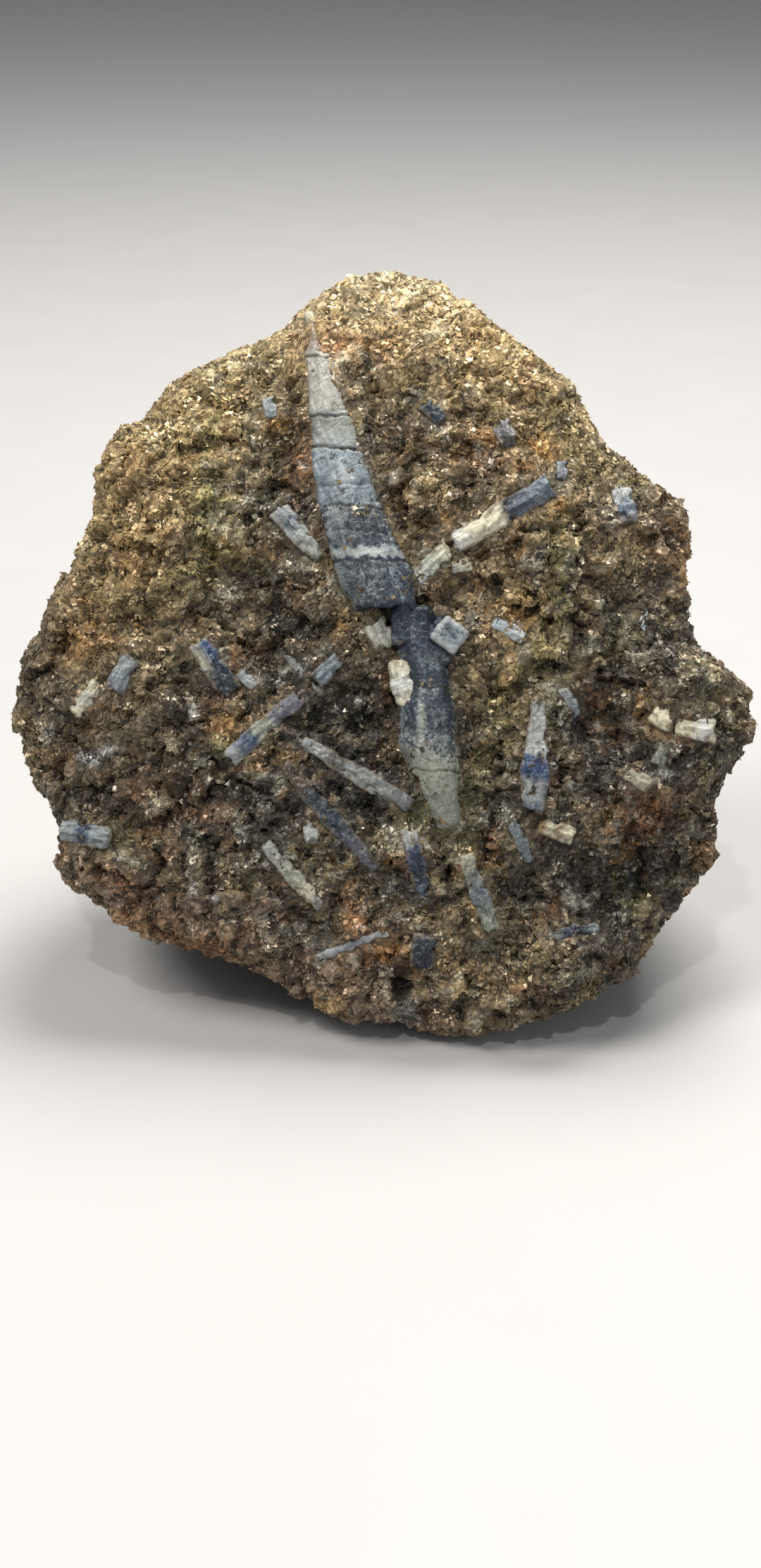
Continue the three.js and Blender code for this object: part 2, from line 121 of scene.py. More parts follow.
@dataclass(frozen=True)
class FaceFrame:
    """The leaning plane of the broken face, found from where the long sapphire lies in it.

    Attributes:
        long_right: How far the long sapphire reaches to the right of the face's middle, in mm.
        long_front: How far it reaches in front of that middle, level, in mm.
        height: Height of the middle above the surface that the stone stands on, in mm.
        lean: How far the face leans back, in degrees.
    """

    long_right: float = 9.335
    long_front: float = 16.808
    height: float = 38.4
    lean: float = 25.0

    def middle(self) -> Vector:
        """Return the middle of the face in metres."""
        low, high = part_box(LONG_SAPPHIRE)
        return Vector((high.x - self.long_right * MM, low.y + self.long_front * MM, self.height * MM))

    def axes(self) -> Matrix:
        """Find the directions of the face.

        Returns:
            Its across, up and out directions as the columns of a matrix.
        """
        turn = math.radians(self.lean)
        up = Vector((0, math.sin(turn), math.cos(turn)))
        out = Vector((0, -math.cos(turn), math.sin(turn)))
        return Matrix((Vector((1, 0, 0)), up, out)).transposed()

    def place(self, across: float, up: float, out: float = 0.0) -> Vector:
        """Return a place of the face, given in mm, as a point of the frame in metres."""
        return self.middle() + self.axes() @ Vector((across, up, out)) * MM

    def read(self, points: Array) -> Array:
        """Return rows of x, y and z in metres as rows of across, up and out in mm."""
        return (points - np.array(self.middle())) @ np.array(self.axes()) / MM


FACE = FaceFrame()
FLOAT = "NodeSocketFloat"
VECTOR = "NodeSocketVector"
COLOUR = "NodeSocketColor"
GEOMETRY = "NodeSocketGeometry"
WHOLE = "NodeSocketInt"
RANGE = ("Value", "From Min", "From Max", "To Min", "To Max")


class Graph:
    """A node tree with short ways to add nodes and join them."""

    def __init__(self, tree: Tree) -> None:
        """Hold a shader or geometry node tree."""
        self.tree = tree

    def feed(self, node: Node, inputs: dict) -> Node:
        """Fill a node's inputs.

        Args:
            node: The node.
            inputs: Values or output sockets, by the input's name or number.

        Returns:
            The same node.
        """
        for name, value in inputs.items():
            if isinstance(value, Socket):
                self.tree.links.new(value, node.inputs[name])
            else:
                node.inputs[name].default_value = value
        return node

    def add(self, kind: str, inputs: dict | None = None, **settings: object) -> Node:
        """Add a node.

        Args:
            kind: The node's type name.
            inputs: Values or output sockets, by the input's name or number.
            **settings: Properties of the node.

        Returns:
            The new node.
        """
        node = self.tree.nodes.new(kind)
        for name, value in settings.items():
            setattr(node, name, value)
        return self.feed(node, inputs or {})

    def group(self, tree: Tree, inputs: dict) -> Node:
        """Place a shared shader group and return its node."""
        return self.add("ShaderNodeGroup", inputs, node_tree=tree)

    def math(self, operation: str, *values: object) -> Socket:
        """Add a number calculation and return its result's socket."""
        return self.add("ShaderNodeMath", dict(enumerate(values)), operation=operation).outputs[0]

    def times(self, *values: object) -> Socket:
        """Multiply numbers one after the other and return the result's socket."""
        return reduce(lambda first, second: self.math("MULTIPLY", first, second), values)

    def plus(self, *values: object) -> Socket:
        """Add numbers one after the other and return the result's socket."""
        return reduce(lambda first, second: self.math("ADD", first, second), values)

    def vector(self, operation: str, *values: object, output: int | str = 0) -> Socket:
        """Add a vector calculation and return its result's socket."""
        node = self.add("ShaderNodeVectorMath", dict(enumerate(values)), operation=operation)
        return node.outputs[output]

    def scaled(self, vector: Socket, factor: object) -> Socket:
        """Multiply a vector by a number and return the result's socket."""
        return self.add("ShaderNodeVectorMath", {0: vector, "Scale": factor}, operation="SCALE").outputs[0]

    def parts(self, vector: Socket) -> bpy.types.NodeOutputs:
        """Split a vector and return the sockets of its X, Y and Z."""
        return self.add("ShaderNodeSeparateXYZ", {0: vector}).outputs

    def mixed(self, share: object, first: object, second: Socket | Tone) -> Socket:
        """Mix two colours, of which the second may be a tone, and return the result's socket."""
        over = tuple(second.linear()) if isinstance(second, Tone) else second
        return self.add("ShaderNodeMix", {"Factor": share, 6: first, 7: over}, data_type="RGBA").outputs[2]

    def ramp(self, value: object, low: object, high: object, to_low: object = 0.0,
             to_high: object = 1.0) -> Socket:
        """Map a value from one range smoothly on to another and return the result's socket."""
        inputs = dict(zip(RANGE, (value, low, high, to_low, to_high)))
        return self.add("ShaderNodeMapRange", inputs, interpolation_type="SMOOTHSTEP").outputs[0]

    def combined(self, *values: object) -> Socket:
        """Join an X, a Y and a Z into a vector and return its socket."""
        return self.add("ShaderNodeCombineXYZ", dict(enumerate(values))).outputs[0]

    def place(self) -> Socket:
        """Read the place on the piece in a material and return its socket."""
        return self.add("ShaderNodeTexCoord").outputs["Object"]

    def noise(self, place: Socket, scale: object, detail: float, roughness: float = 0.5) -> Node:
        """Add soft noise and return its node."""
        inputs = {"Vector": place, "Scale": scale, "Detail": detail, "Roughness": roughness}
        return self.add("ShaderNodeTexNoise", inputs)

    def cells(self, place: Socket, scale: object = 1.0, feature: str = "F1") -> Node:
        """Add a pattern of cells and return its node."""
        return self.add("ShaderNodeTexVoronoi", {"Vector": place, "Scale": scale}, feature=feature)

    def attribute(self, name: str, output: str = "Fac") -> Socket:
        """Read a piece's own attribute in a material and return its socket."""
        return self.add("ShaderNodeAttribute", attribute_name=name).outputs[output]

    def named(self, name: str, kind: str = "FLOAT") -> Socket:
        """Read a named attribute in a geometry tree and return its socket."""
        node = self.add("GeometryNodeInputNamedAttribute", {"Name": name}, data_type=kind)
        return node.outputs["Attribute"]

    def kept(self, geometry: Socket, name: str, value: Socket) -> Socket:
        """Store a number on a geometry's points and return the geometry's socket."""
        inputs = {"Geometry": geometry, "Name": name, "Value": value}
        return self.add("GeometryNodeStoreNamedAttribute", inputs, data_type="FLOAT").outputs[0]

    def outward(self, height: Socket) -> Socket:
        """Return the socket of an offset along the surface's own direction, by a height in mm."""
        return self.scaled(self.add("GeometryNodeInputNormal").outputs[0], self.times(height, MM))

    def random(self, seed: Socket, low: object, high: object, kind: str = "FLOAT") -> Socket:
        """Add a random value for each element.

        Args:
            seed: Where the draws start.
            low: The lowest value, or its socket.
            high: The highest value, or its socket.
            kind: FLOAT, INT or FLOAT_VECTOR.

        Returns:
            The value's socket.
        """
        node = self.add("FunctionNodeRandomValue", data_type=kind)
        lowest, highest = [place for place, socket in enumerate(node.inputs) if socket.enabled][:2]
        self.feed(node, {lowest: low, highest: high, "Seed": seed})
        return next(socket for socket in node.outputs if socket.enabled)

    def end(self, result: Node, geometry: Socket, finish: Material | None = None) -> Tree:
        """Realize a geometry's instances, give it its material and end the tree with it.

        Args:
            result: The tree's output node.
            geometry: The geometry's socket.
            finish: The material, or None where the mesh gets it later.

        Returns:
            The tree.
        """
        whole = self.add("GeometryNodeRealizeInstances", {"Geometry": geometry})
        coated = self.add("GeometryNodeSetMaterial", {"Geometry": whole.outputs[0], "Material": finish})
        self.feed(result, {0: coated.outputs[0]})
        return self.tree


def new_group(name: str, kind: str, inputs: dict, outputs: dict) -> tuple[Graph, Node, Node]:
    """Make an empty node group with named sockets.

    Args:
        name: The group's name.
        kind: ShaderNodeTree or GeometryNodeTree.
        inputs: Socket name to its type, or to the default value of a number.
        outputs: Socket name to socket type.

    Returns:
        The group's graph, its input node and its output node.
    """
    tree = bpy.data.node_groups.new(name, kind)
    number_types = {float: FLOAT, int: WHOLE}
    for label, given in inputs.items():
        socket_type = number_types.get(type(given), given)
        socket = tree.interface.new_socket(label, in_out="INPUT", socket_type=socket_type)
        if not isinstance(given, str):
            socket.default_value = given
    for label, socket_type in outputs.items():
        tree.interface.new_socket(label, in_out="OUTPUT", socket_type=socket_type)
    graph = Graph(tree)
    return graph, graph.add("NodeGroupInput"), graph.add("NodeGroupOutput")


@dataclass(frozen=True)
class Spots:
    """One kind of small colour patch that recurs all over the schist.

    Attributes:
        tone: Its colour.
        size: Rough size of a patch in mm.
        amount: How common the patches are, from 0 to 1.
        share: How much of the colour shows in them.
        shift: Sideways shift that sets this kind apart from the others, in metres.
        soft: How softly the patches end.
        everywhere: Whether they are as strong on the rim and the crown as inside the face.
    """

    tone: Tone
    size: float
    amount: float
    share: float
    shift: float
    soft: float = 0.05
    everywhere: bool = True


SCHIST_SPOTS = (
    Spots(Tone.OLIVE, 9.0, 0.32, 0.45, 0.31, 0.1), Spots(Tone.GOLD, 6.0, 0.36, 0.4, 0.42, 0.1),
    Spots(Tone.AMBER, 7.0, 0.32, 0.34, 1.15, 0.08), Spots(Tone.RUST, 5.5, 0.34, 0.42, 0.52, 0.08),
    Spots(Tone.CHARCOAL, 4.2, 0.38, 0.6, 0.94, 0.07, False),
    Spots(Tone.PALE_MICA, 3.0, 0.36, 0.5, 0.73, 0.06, False),
    Spots(Tone.PALE_GOLD, 1.3, 0.26, 0.35, 1.36, 0.05, False),
)


class SurfaceEffects:
    """Shader groups that more than one finish uses, each built once."""

    def __init__(self) -> None:
        """Build the groups."""
        self.facets = self._facets()
        self.mottle = self._mottle()
        self.schist = self._schist()
        self.streaks = self._streaks()

    def mask(self, graph: Graph, place: Socket, scale: float, amount: object, soft: float = 0.04) -> Socket:
        """Place the mottle group in a material or a group.

        Args:
            graph: Where it is placed.
            place: The coordinates that it reads.
            scale: Patches to a unit of those coordinates.
            amount: Share of the surface that the patches cover, as a number or a socket.
            soft: How softly the patches end.

        Returns:
            The mask's socket.
        """
        inputs = {"Vector": place, "Scale": scale, "Amount": amount, "Softness": soft}
        return graph.group(self.mottle, inputs).outputs["Mask"]

    def schist_colour(self, graph: Graph, place: Socket) -> Socket:
        """Place the schist group over a piece's own tone and return its colour."""
        own = {"Tone": graph.attribute("tone", "Color"), "Motley": graph.attribute("motley")}
        return graph.group(self.schist, {"Vector": place, **own}).outputs["Color"]

    def _schist(self) -> Tree:
        """Small patches of pale, rusty, olive and dark mica over the rock's broad tone.

        Returns:
            The group.
        """
        graph, source, result = new_group(
            "Schist patches", "ShaderNodeTree", {"Vector": VECTOR, "Tone": COLOUR, "Motley": 1.0},
            {"Color": COLOUR},
        )
        colour = source.outputs["Tone"]
        for spot in SCHIST_SPOTS:
            moved = graph.vector("ADD", source.outputs["Vector"], (spot.shift, 0.0, 0.0))
            covered = self.mask(graph, moved, 1 / (spot.size * MM), spot.amount, spot.soft)
            share = graph.times(covered, spot.share)
            if not spot.everywhere:
                share = graph.times(share, source.outputs["Motley"])
            colour = graph.mixed(share, colour, spot.tone)
        graph.feed(result, {"Color": colour})
        return graph.tree

    def _facets(self) -> Tree:
        """Tiny plates that each face their own way and have a value of their own.

        Returns:
            The group.
        """
        graph, source, result = new_group(
            "Mica facets", "ShaderNodeTree", {"Vector": VECTOR, "Scale": 1000.0, "Tilt": 0.5},
            {"Normal": VECTOR, "Value": FLOAT},
        )
        cells = graph.cells(source.outputs["Vector"], source.outputs["Scale"])
        own = graph.vector("SUBTRACT", cells.outputs["Color"], MIDDLE)
        lean = graph.scaled(own, source.outputs["Tilt"])
        turned = graph.vector("ADD", graph.add("ShaderNodeNewGeometry").outputs["Normal"], lean)
        value = graph.add("ShaderNodeSeparateColor", {0: cells.outputs["Color"]}).outputs["Green"]
        graph.feed(result, {"Normal": graph.vector("NORMALIZE", turned), "Value": value})
        return graph.tree

    def _mottle(self) -> Tree:
        """Ragged patches: a mask that covers about as much as its amount says.

        Returns:
            The group.
        """
        graph, source, result = new_group(
            "Mottle", "ShaderNodeTree", {"Vector": VECTOR, "Scale": 1.0, "Amount": 0.5, "Softness": 0.04},
            {"Mask": FLOAT},
        )
        ragged = graph.noise(source.outputs["Vector"], source.outputs["Scale"], 5.0, 0.7)
        edge = graph.ramp(source.outputs["Amount"], 0.0, 1.0, 0.72, 0.28)
        low = graph.math("SUBTRACT", edge, source.outputs["Softness"])
        high = graph.plus(edge, source.outputs["Softness"])
        graph.feed(result, {"Mask": graph.ramp(ragged.outputs[0], low, high)})
        return graph.tree

    def _streaks(self) -> Tree:
        """Fine lines that run the way a crystal grew, with a few cracks across it.

        Returns:
            The group.
        """
        graph, source, result = new_group(
            "Growth streaks", "ShaderNodeTree", {"Vector": VECTOR, "Along": 0.35, "Across": 5.0},
            {"Height": FLOAT, "Crack": FLOAT},
        )
        parts = graph.parts(source.outputs["Vector"])
        factors = (source.outputs[name] for name in ("Along", "Across", "Across"))
        stretched = graph.combined(*(graph.times(part, factor) for part, factor in zip(parts, factors)))
        lines = graph.noise(stretched, 1.0, 4.0)
        squashed = graph.vector("MULTIPLY", source.outputs["Vector"], (1.1, 0.35, 0.35))
        crack_cells = graph.cells(squashed, feature="DISTANCE_TO_EDGE")
        crack = graph.ramp(crack_cells.outputs[0], 0.015, 0.05, 1.0, 0.0)
        graph.feed(result, {"Height": lines.outputs[0], "Crack": crack})
        return graph.tree


def new_material(name: str) -> tuple[Material, Graph, Node]:
    """Make a node material that holds a Principled shader.

    Args:
        name: The material's name.

    Returns:
        The material, its graph and its shader.
    """
    material = bpy.data.materials.new(name)
    material.use_nodes = True
    graph = Graph(material.node_tree)
    return material, graph, material.node_tree.nodes["Principled BSDF"]


@dataclass(frozen=True)
class SchistFinish:
    """The broken rock between the flakes: darker in its pits by painted shade and lighter on its raised
    grains by painted light, glittering where flat.

    Attributes:
        name: The material's name.
        facet_scale: Glittering facets to a metre.
        tilt: How far the facets lean.
        specular: How strongly they shine.
    """

    name: str = "mica_schist_rock"
    facet_scale: float = 1900.0
    tilt: float = 1.1
    specular: float = 0.55

    def build(self, effects: SurfaceEffects) -> Material:
        """Build the rock's material.

        Args:
            effects: The shared shader groups.

        Returns:
            The material.
        """
        material, graph, shader = new_material(self.name)
        place = graph.place()
        facets = graph.group(effects.facets, {"Vector": place, "Scale": self.facet_scale, "Tilt": self.tilt})
        value = facets.outputs["Value"]
        shaded = graph.scaled(effects.schist_colour(graph, place), graph.ramp(value, 0.0, 1.0, 0.35, 1.25))
        # Painted shade in the pits and painted light on the raised grains, from the height kept as relief.
        relief_painted_light_and_shade = graph.scaled(shaded, graph.ramp(graph.attribute("relief"), -0.45, 0.45, 0.45, 1.3))
        graph.feed(shader, {
            "Base Color": relief_painted_light_and_shade, "Roughness": graph.ramp(value, 0.2, 1.0, 0.75, 0.34),
            "Normal": facets.outputs["Normal"], "Specular IOR Level": self.specular,
        })
        return material


@dataclass(frozen=True)
class FlakeFinish:
    """Mica flakes: pearly plates, each with its own depth of colour and gloss, partly painted highlight and
    shade shared by each book of mica.

    Attributes:
        name: The material's name.
        facet_scale: Ripples to a metre on the plates.
        tilt: How far the ripples lean.
        metallic: How much like metal the plates shine.
    """

    name: str = "mica_flakes"
    facet_scale: float = 3600.0
    tilt: float = 0.22
    metallic: float = 0.22

    def build(self, effects: SurfaceEffects) -> Material:
        """Build the flakes' material.

        Args:
            effects: The shared shader groups.

        Returns:
            The material.
        """
        material, graph, shader = new_material(self.name)
        place = graph.place()
        facets = graph.group(effects.facets, {"Vector": place, "Scale": self.facet_scale, "Tilt": self.tilt})
        own = graph.attribute("flake")
        # Each flake's value makes it lighter or darker, partly its own tone and partly painted highlight and
        # shade of books lit alike; the lightest are mixed towards pale gold, partly a painted glint.
        coloured = graph.scaled(effects.schist_colour(graph, place), graph.ramp(own, 0.1, 0.9, 0.5, 1.5))
        silver_and_painted_glint = graph.mixed(graph.ramp(own, 0.84, 1.0, 0.0, 0.35), coloured, Tone.PALE_GOLD)
        graph.feed(shader, {
            "Base Color": silver_and_painted_glint, "Roughness": graph.ramp(own, 0.0, 1.0, 0.6, 0.24),
            "Normal": facets.outputs["Normal"], "Metallic": self.metallic,
        })
        return material


@dataclass(frozen=True)
class SapphireFinish:
    """Opaque natural sapphire: streaked, flecked with darker blue, cracked across.

    Attributes:
        slot: The record's material slot.
        roughness: How matt the worn faces are.
        specular: How strongly they shine.
        bump: How deep its finest lines look, in mm.
    """

    slot: str
    roughness: float = 0.36
    specular: float = 0.5
    bump: float = 0.12

    def build(self, effects: SurfaceEffects) -> Material:
        """Build the sapphire's material.

        Args:
            effects: The shared shader groups.

        Returns:
            The material.
        """
        material, graph, shader = new_material(self.slot)
        grain = graph.attribute("grain", "Vector")
        streaks = graph.group(effects.streaks, {"Vector": grain})
        height, crack = streaks.outputs["Height"], streaks.outputs["Crack"]
        tint = graph.attribute("tint", "Color")
        colour = graph.scaled(tint, graph.ramp(height, 0.25, 0.75, 0.72, 1.22))
        pale = effects.mask(graph, grain, 3.6, 0.36)
        colour = graph.mixed(graph.times(pale, 0.4), colour, Tone.PALE)
        colour = self._flecked(graph, effects, grain, colour)
        grit = effects.mask(graph, grain, 3.4, 0.3)
        colour = graph.mixed(graph.times(grit, 0.55), colour, graph.scaled(tint, 1.15))
        parting = graph.times(graph.attribute("parting"), 0.85)
        open_line = graph.math("MAXIMUM", graph.times(crack, 0.18), parting)
        worn = graph.math("SUBTRACT", height, graph.times(crack, 0.5))
        bump = graph.add("ShaderNodeBump", {"Height": worn, "Strength": 0.55, "Distance": self.bump * MM})
        graph.feed(shader, {
            "Base Color": graph.mixed(open_line, colour, Tone.DARK_BROWN), "Normal": bump.outputs[0],
            "Roughness": graph.ramp(height, 0.3, 0.7, self.roughness + 0.12, self.roughness - 0.08),
            "Specular IOR Level": self.specular,
        })
        return material

    @staticmethod
    def _flecked(graph: Graph, effects: SurfaceEffects, grain: Socket, colour: Socket) -> Socket:
        """Scatter coarse and fine flecks of dark blue where the crystal has them.

        Args:
            graph: The material's graph.
            effects: The shared shader groups.
            grain: Place along the crystal's own axes.
            colour: The colour so far.

        Returns:
            The socket of the flecked colour.
        """
        fleck = graph.attribute("fleck")
        flecked = graph.ramp(fleck, 0.0, 0.15)
        amount = graph.times(fleck, 0.85)
        for scale, soft, strength in ((0.95, 0.07, 0.75), (2.9, 0.04, 0.8)):
            spots = effects.mask(graph, grain, scale, amount, soft)
            colour = graph.mixed(graph.times(spots, strength, flecked), colour, Tone.NAVY)
        return colour


@dataclass(frozen=True)
class StudioFinish:
    """The plain pale floor.

    Attributes:
        name: The material's name.
        scale: Faint marks to a metre in its gloss.
    """

    name: str = "pale_floor"
    scale: float = 60.0

    def build(self) -> Material:
        """Build the floor's material.

        Returns:
            The material.
        """
        material, graph, shader = new_material(self.name)
        marks = graph.noise(graph.place(), self.scale, 3.0).outputs[0]
        graph.feed(shader, {
            "Base Color": tuple(Tone.FLOOR.linear()), "Roughness": graph.ramp(marks, 0.3, 0.7, 0.55, 0.62),
        })
        return material


def new_mesh(name: str, sources: list[Mesh], weld: bool) -> Mesh:
    """Copy one or more meshes into a new one.

    Args:
        name: The new mesh's name.
        sources: What is copied.
        weld: Whether points that lie together are joined, as a solid's loose triangles have to be.

    Returns:
        The new mesh, with no material.
    """
    built = bmesh.new()
    for source in sources:
        built.from_mesh(source)
    if weld:
        bmesh.ops.remove_doubles(built, verts=built.verts, dist=0.001 * MM)
    mesh = bpy.data.meshes.new(name)
    built.to_mesh(mesh)
    built.free()
    mesh.materials.clear()
    return mesh


def coat(mesh: Mesh, finish: Material) -> None:
    """Give a mesh one material and no other."""
    mesh.materials.clear()
    mesh.materials.append(finish)


def linked_object(name: str, data: bpy.types.ID) -> Piece:
    """Link a new object to the scene.

    Args:
        name: The object's name.
        data: Its mesh, lamp or camera.

    Returns:
        The object.
    """
    made = bpy.data.objects.new(name, data)
    bpy.context.scene.collection.objects.link(made)
    return made


def baked(made: Piece, name: str) -> Mesh:
    """Turn a scratch object with live modifiers into a plain mesh and remove it.

    Args:
        made: The object.
        name: The new mesh's name.

    Returns:
        The evaluated mesh.
    """
    view = bpy.context.evaluated_depsgraph_get()
    live = made.evaluated_get(view)
    mesh = bpy.data.meshes.new_from_object(live, preserve_all_data_layers=True, depsgraph=view)
    mesh.name = name
    bpy.data.objects.remove(made)
    return mesh


def remeshed(mesh: Mesh, voxel: float, name: str) -> Mesh:
    """Give a closed mesh an even skin of small faces.

    Args:
        mesh: The mesh.
        voxel: The size of the faces in mm.
        name: The new mesh's name.

    Returns:
        The new mesh.
    """
    made = linked_object(f"{name}_scratch", mesh)
    skin = made.modifiers.new("even_skin", "REMESH")
    skin.mode = "VOXEL"
    skin.voxel_size = voxel * MM
    return baked(made, name)


def run_tree(mesh: Mesh, tree: Tree, values: dict, name: str) -> Mesh:
    """Run a geometry tree on a mesh.

    Args:
        mesh: The mesh that it starts from.
        tree: The tree.
        values: Input name to value.
        name: The new mesh's name.

    Returns:
        The tree's result as a plain mesh.
    """
    made = linked_object(f"{name}_scratch", mesh)
    modifier = made.modifiers.new("tree", "NODES")
    modifier.node_group = tree
    sockets = {item.name: item.identifier for item in tree.interface.items_tree if item.in_out == "INPUT"}
    for label, value in values.items():
        modifier[sockets[label]] = value
    return baked(made, name)


def read_rows(items: bpy.types.bpy_prop_collection, name: str) -> Array:
    """Read a vector from each item of a mesh.

    Args:
        items: The mesh's points or their normals.
        name: What holds an item's vector.

    Returns:
        Rows of x, y and z.
    """
    flat = np.empty(len(items) * 3, np.float32)
    items.foreach_get(name, flat)
    return flat.reshape(-1, 3).astype(float)


def points_of(mesh: Mesh) -> Array:
    """Return a mesh's points as rows of x, y and z in metres."""
    return read_rows(mesh.vertices, "co")


def set_points(mesh: Mesh, points: Array) -> None:
    """Move a mesh's points to rows of x, y and z in metres."""
    mesh.vertices.foreach_set("co", points.astype(np.float32).ravel())
    mesh.update()


def normals_of(mesh: Mesh) -> Array:
    """Return the directions in which a mesh's points face."""
    return read_rows(mesh.vertex_normals, "vector")


def store(mesh: Mesh, name: str, values: Array) -> None:
    """Write an attribute on a mesh's points.

    Args:
        mesh: The mesh.
        name: The attribute's name.
        values: A number, a whole number, a vector or a colour for each point.
    """
    old = mesh.attributes.get(name)
    if old is not None:
        mesh.attributes.remove(old)
    whole = np.issubdtype(values.dtype, np.integer)
    columns = 1 if values.ndim == 1 else values.shape[1]
    number = "INT" if whole else "FLOAT"
    kinds = {1: (number, "value"), 3: ("FLOAT_VECTOR", "vector"), 4: ("FLOAT_COLOR", "color")}
    kind, field_name = kinds[columns]
    made = mesh.attributes.new(name, kind, "POINT")
    made.data.foreach_set(field_name, values.astype(np.int32 if whole else np.float32).ravel())


def step(values: Array, low: float, high: float) -> Array:
    """Return a smooth rise from 0 at low to 1 at high."""
    share = np.clip((values - low) / (high - low), 0, 1)
    return share * share * (3 - 2 * share)


def laid_over(colours: Array, tone: Tone, share: Array) -> Array:
    """Return rows of colour with a tone laid over them, by a share for each row."""
    return colours * (1 - share[:, None]) + tone.linear() * share[:, None]


def show(piece: Piece, slot: str, *nodes: str) -> None:
    """Fix a finished piece to the specimen.

    Args:
        piece: The piece.
        slot: The record's material slot; not used.
        *nodes: CAD nodes that it stands for.
    """
    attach(piece, BODY)
    if nodes:
        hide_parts(*nodes)


@dataclass(frozen=True)
class Patch:
    """A soft-edged patch of colour on the broken face, in mm.

    Attributes:
        tone: Its colour.
        across: Middle of the patch to the right.
        up: Middle of the patch up the face.
        wide: Half its width.
        high: Half its height.
        strength: How much of the colour shows at its middle.
        turn: How far it is turned anticlockwise, in degrees.
    """

    tone: Tone
    across: float
    up: float
    wide: float
    high: float
    strength: float = 0.8
    turn: float = 0.0

    def cover(self, face: Array) -> Array:
        """Find how much of the patch shows.

        Args:
            face: Rows of across, up and out.

        Returns:
            The share of its colour for each row.
        """
        angle = math.radians(self.turn)
        right = face[:, 0] - self.across
        above = face[:, 1] - self.up
        along = (right * math.cos(angle) + above * math.sin(angle)) / self.wide
        beside = (above * math.cos(angle) - right * math.sin(angle)) / self.high
        return self.strength * np.exp(-(along**2 + beside**2))


def patch_set(*rows: tuple) -> tuple[Patch, ...]:
    """Return patches from rows of tone, across, up, wide, high, strength and turn."""
    return tuple(Patch(*row) for row in rows)


@dataclass(frozen=True)
class Hollow:
    """A small hollow in the broken face, in mm, whose dark is painted shade.

    Attributes:
        across: Its middle to the right.
        up: Its middle up the face.
        wide: Half its width.
        high: Half its height.
        depth: How far the rock is sunk at its middle.
    """

    across: float = 2.5
    up: float = -36.0
    wide: float = 1.2
    high: float = 1.9
    depth: float = 2.2

    def cover(self, face: Array) -> Array:
        """Return 1 for rows of across, up and out at the hollow's middle and 0 outside it."""
        right, above = (face[:, 0] - self.across) / self.wide, (face[:, 1] - self.up) / self.high
        return np.exp(-(right**4 + above**4)) * (face[:, 2] > 0)


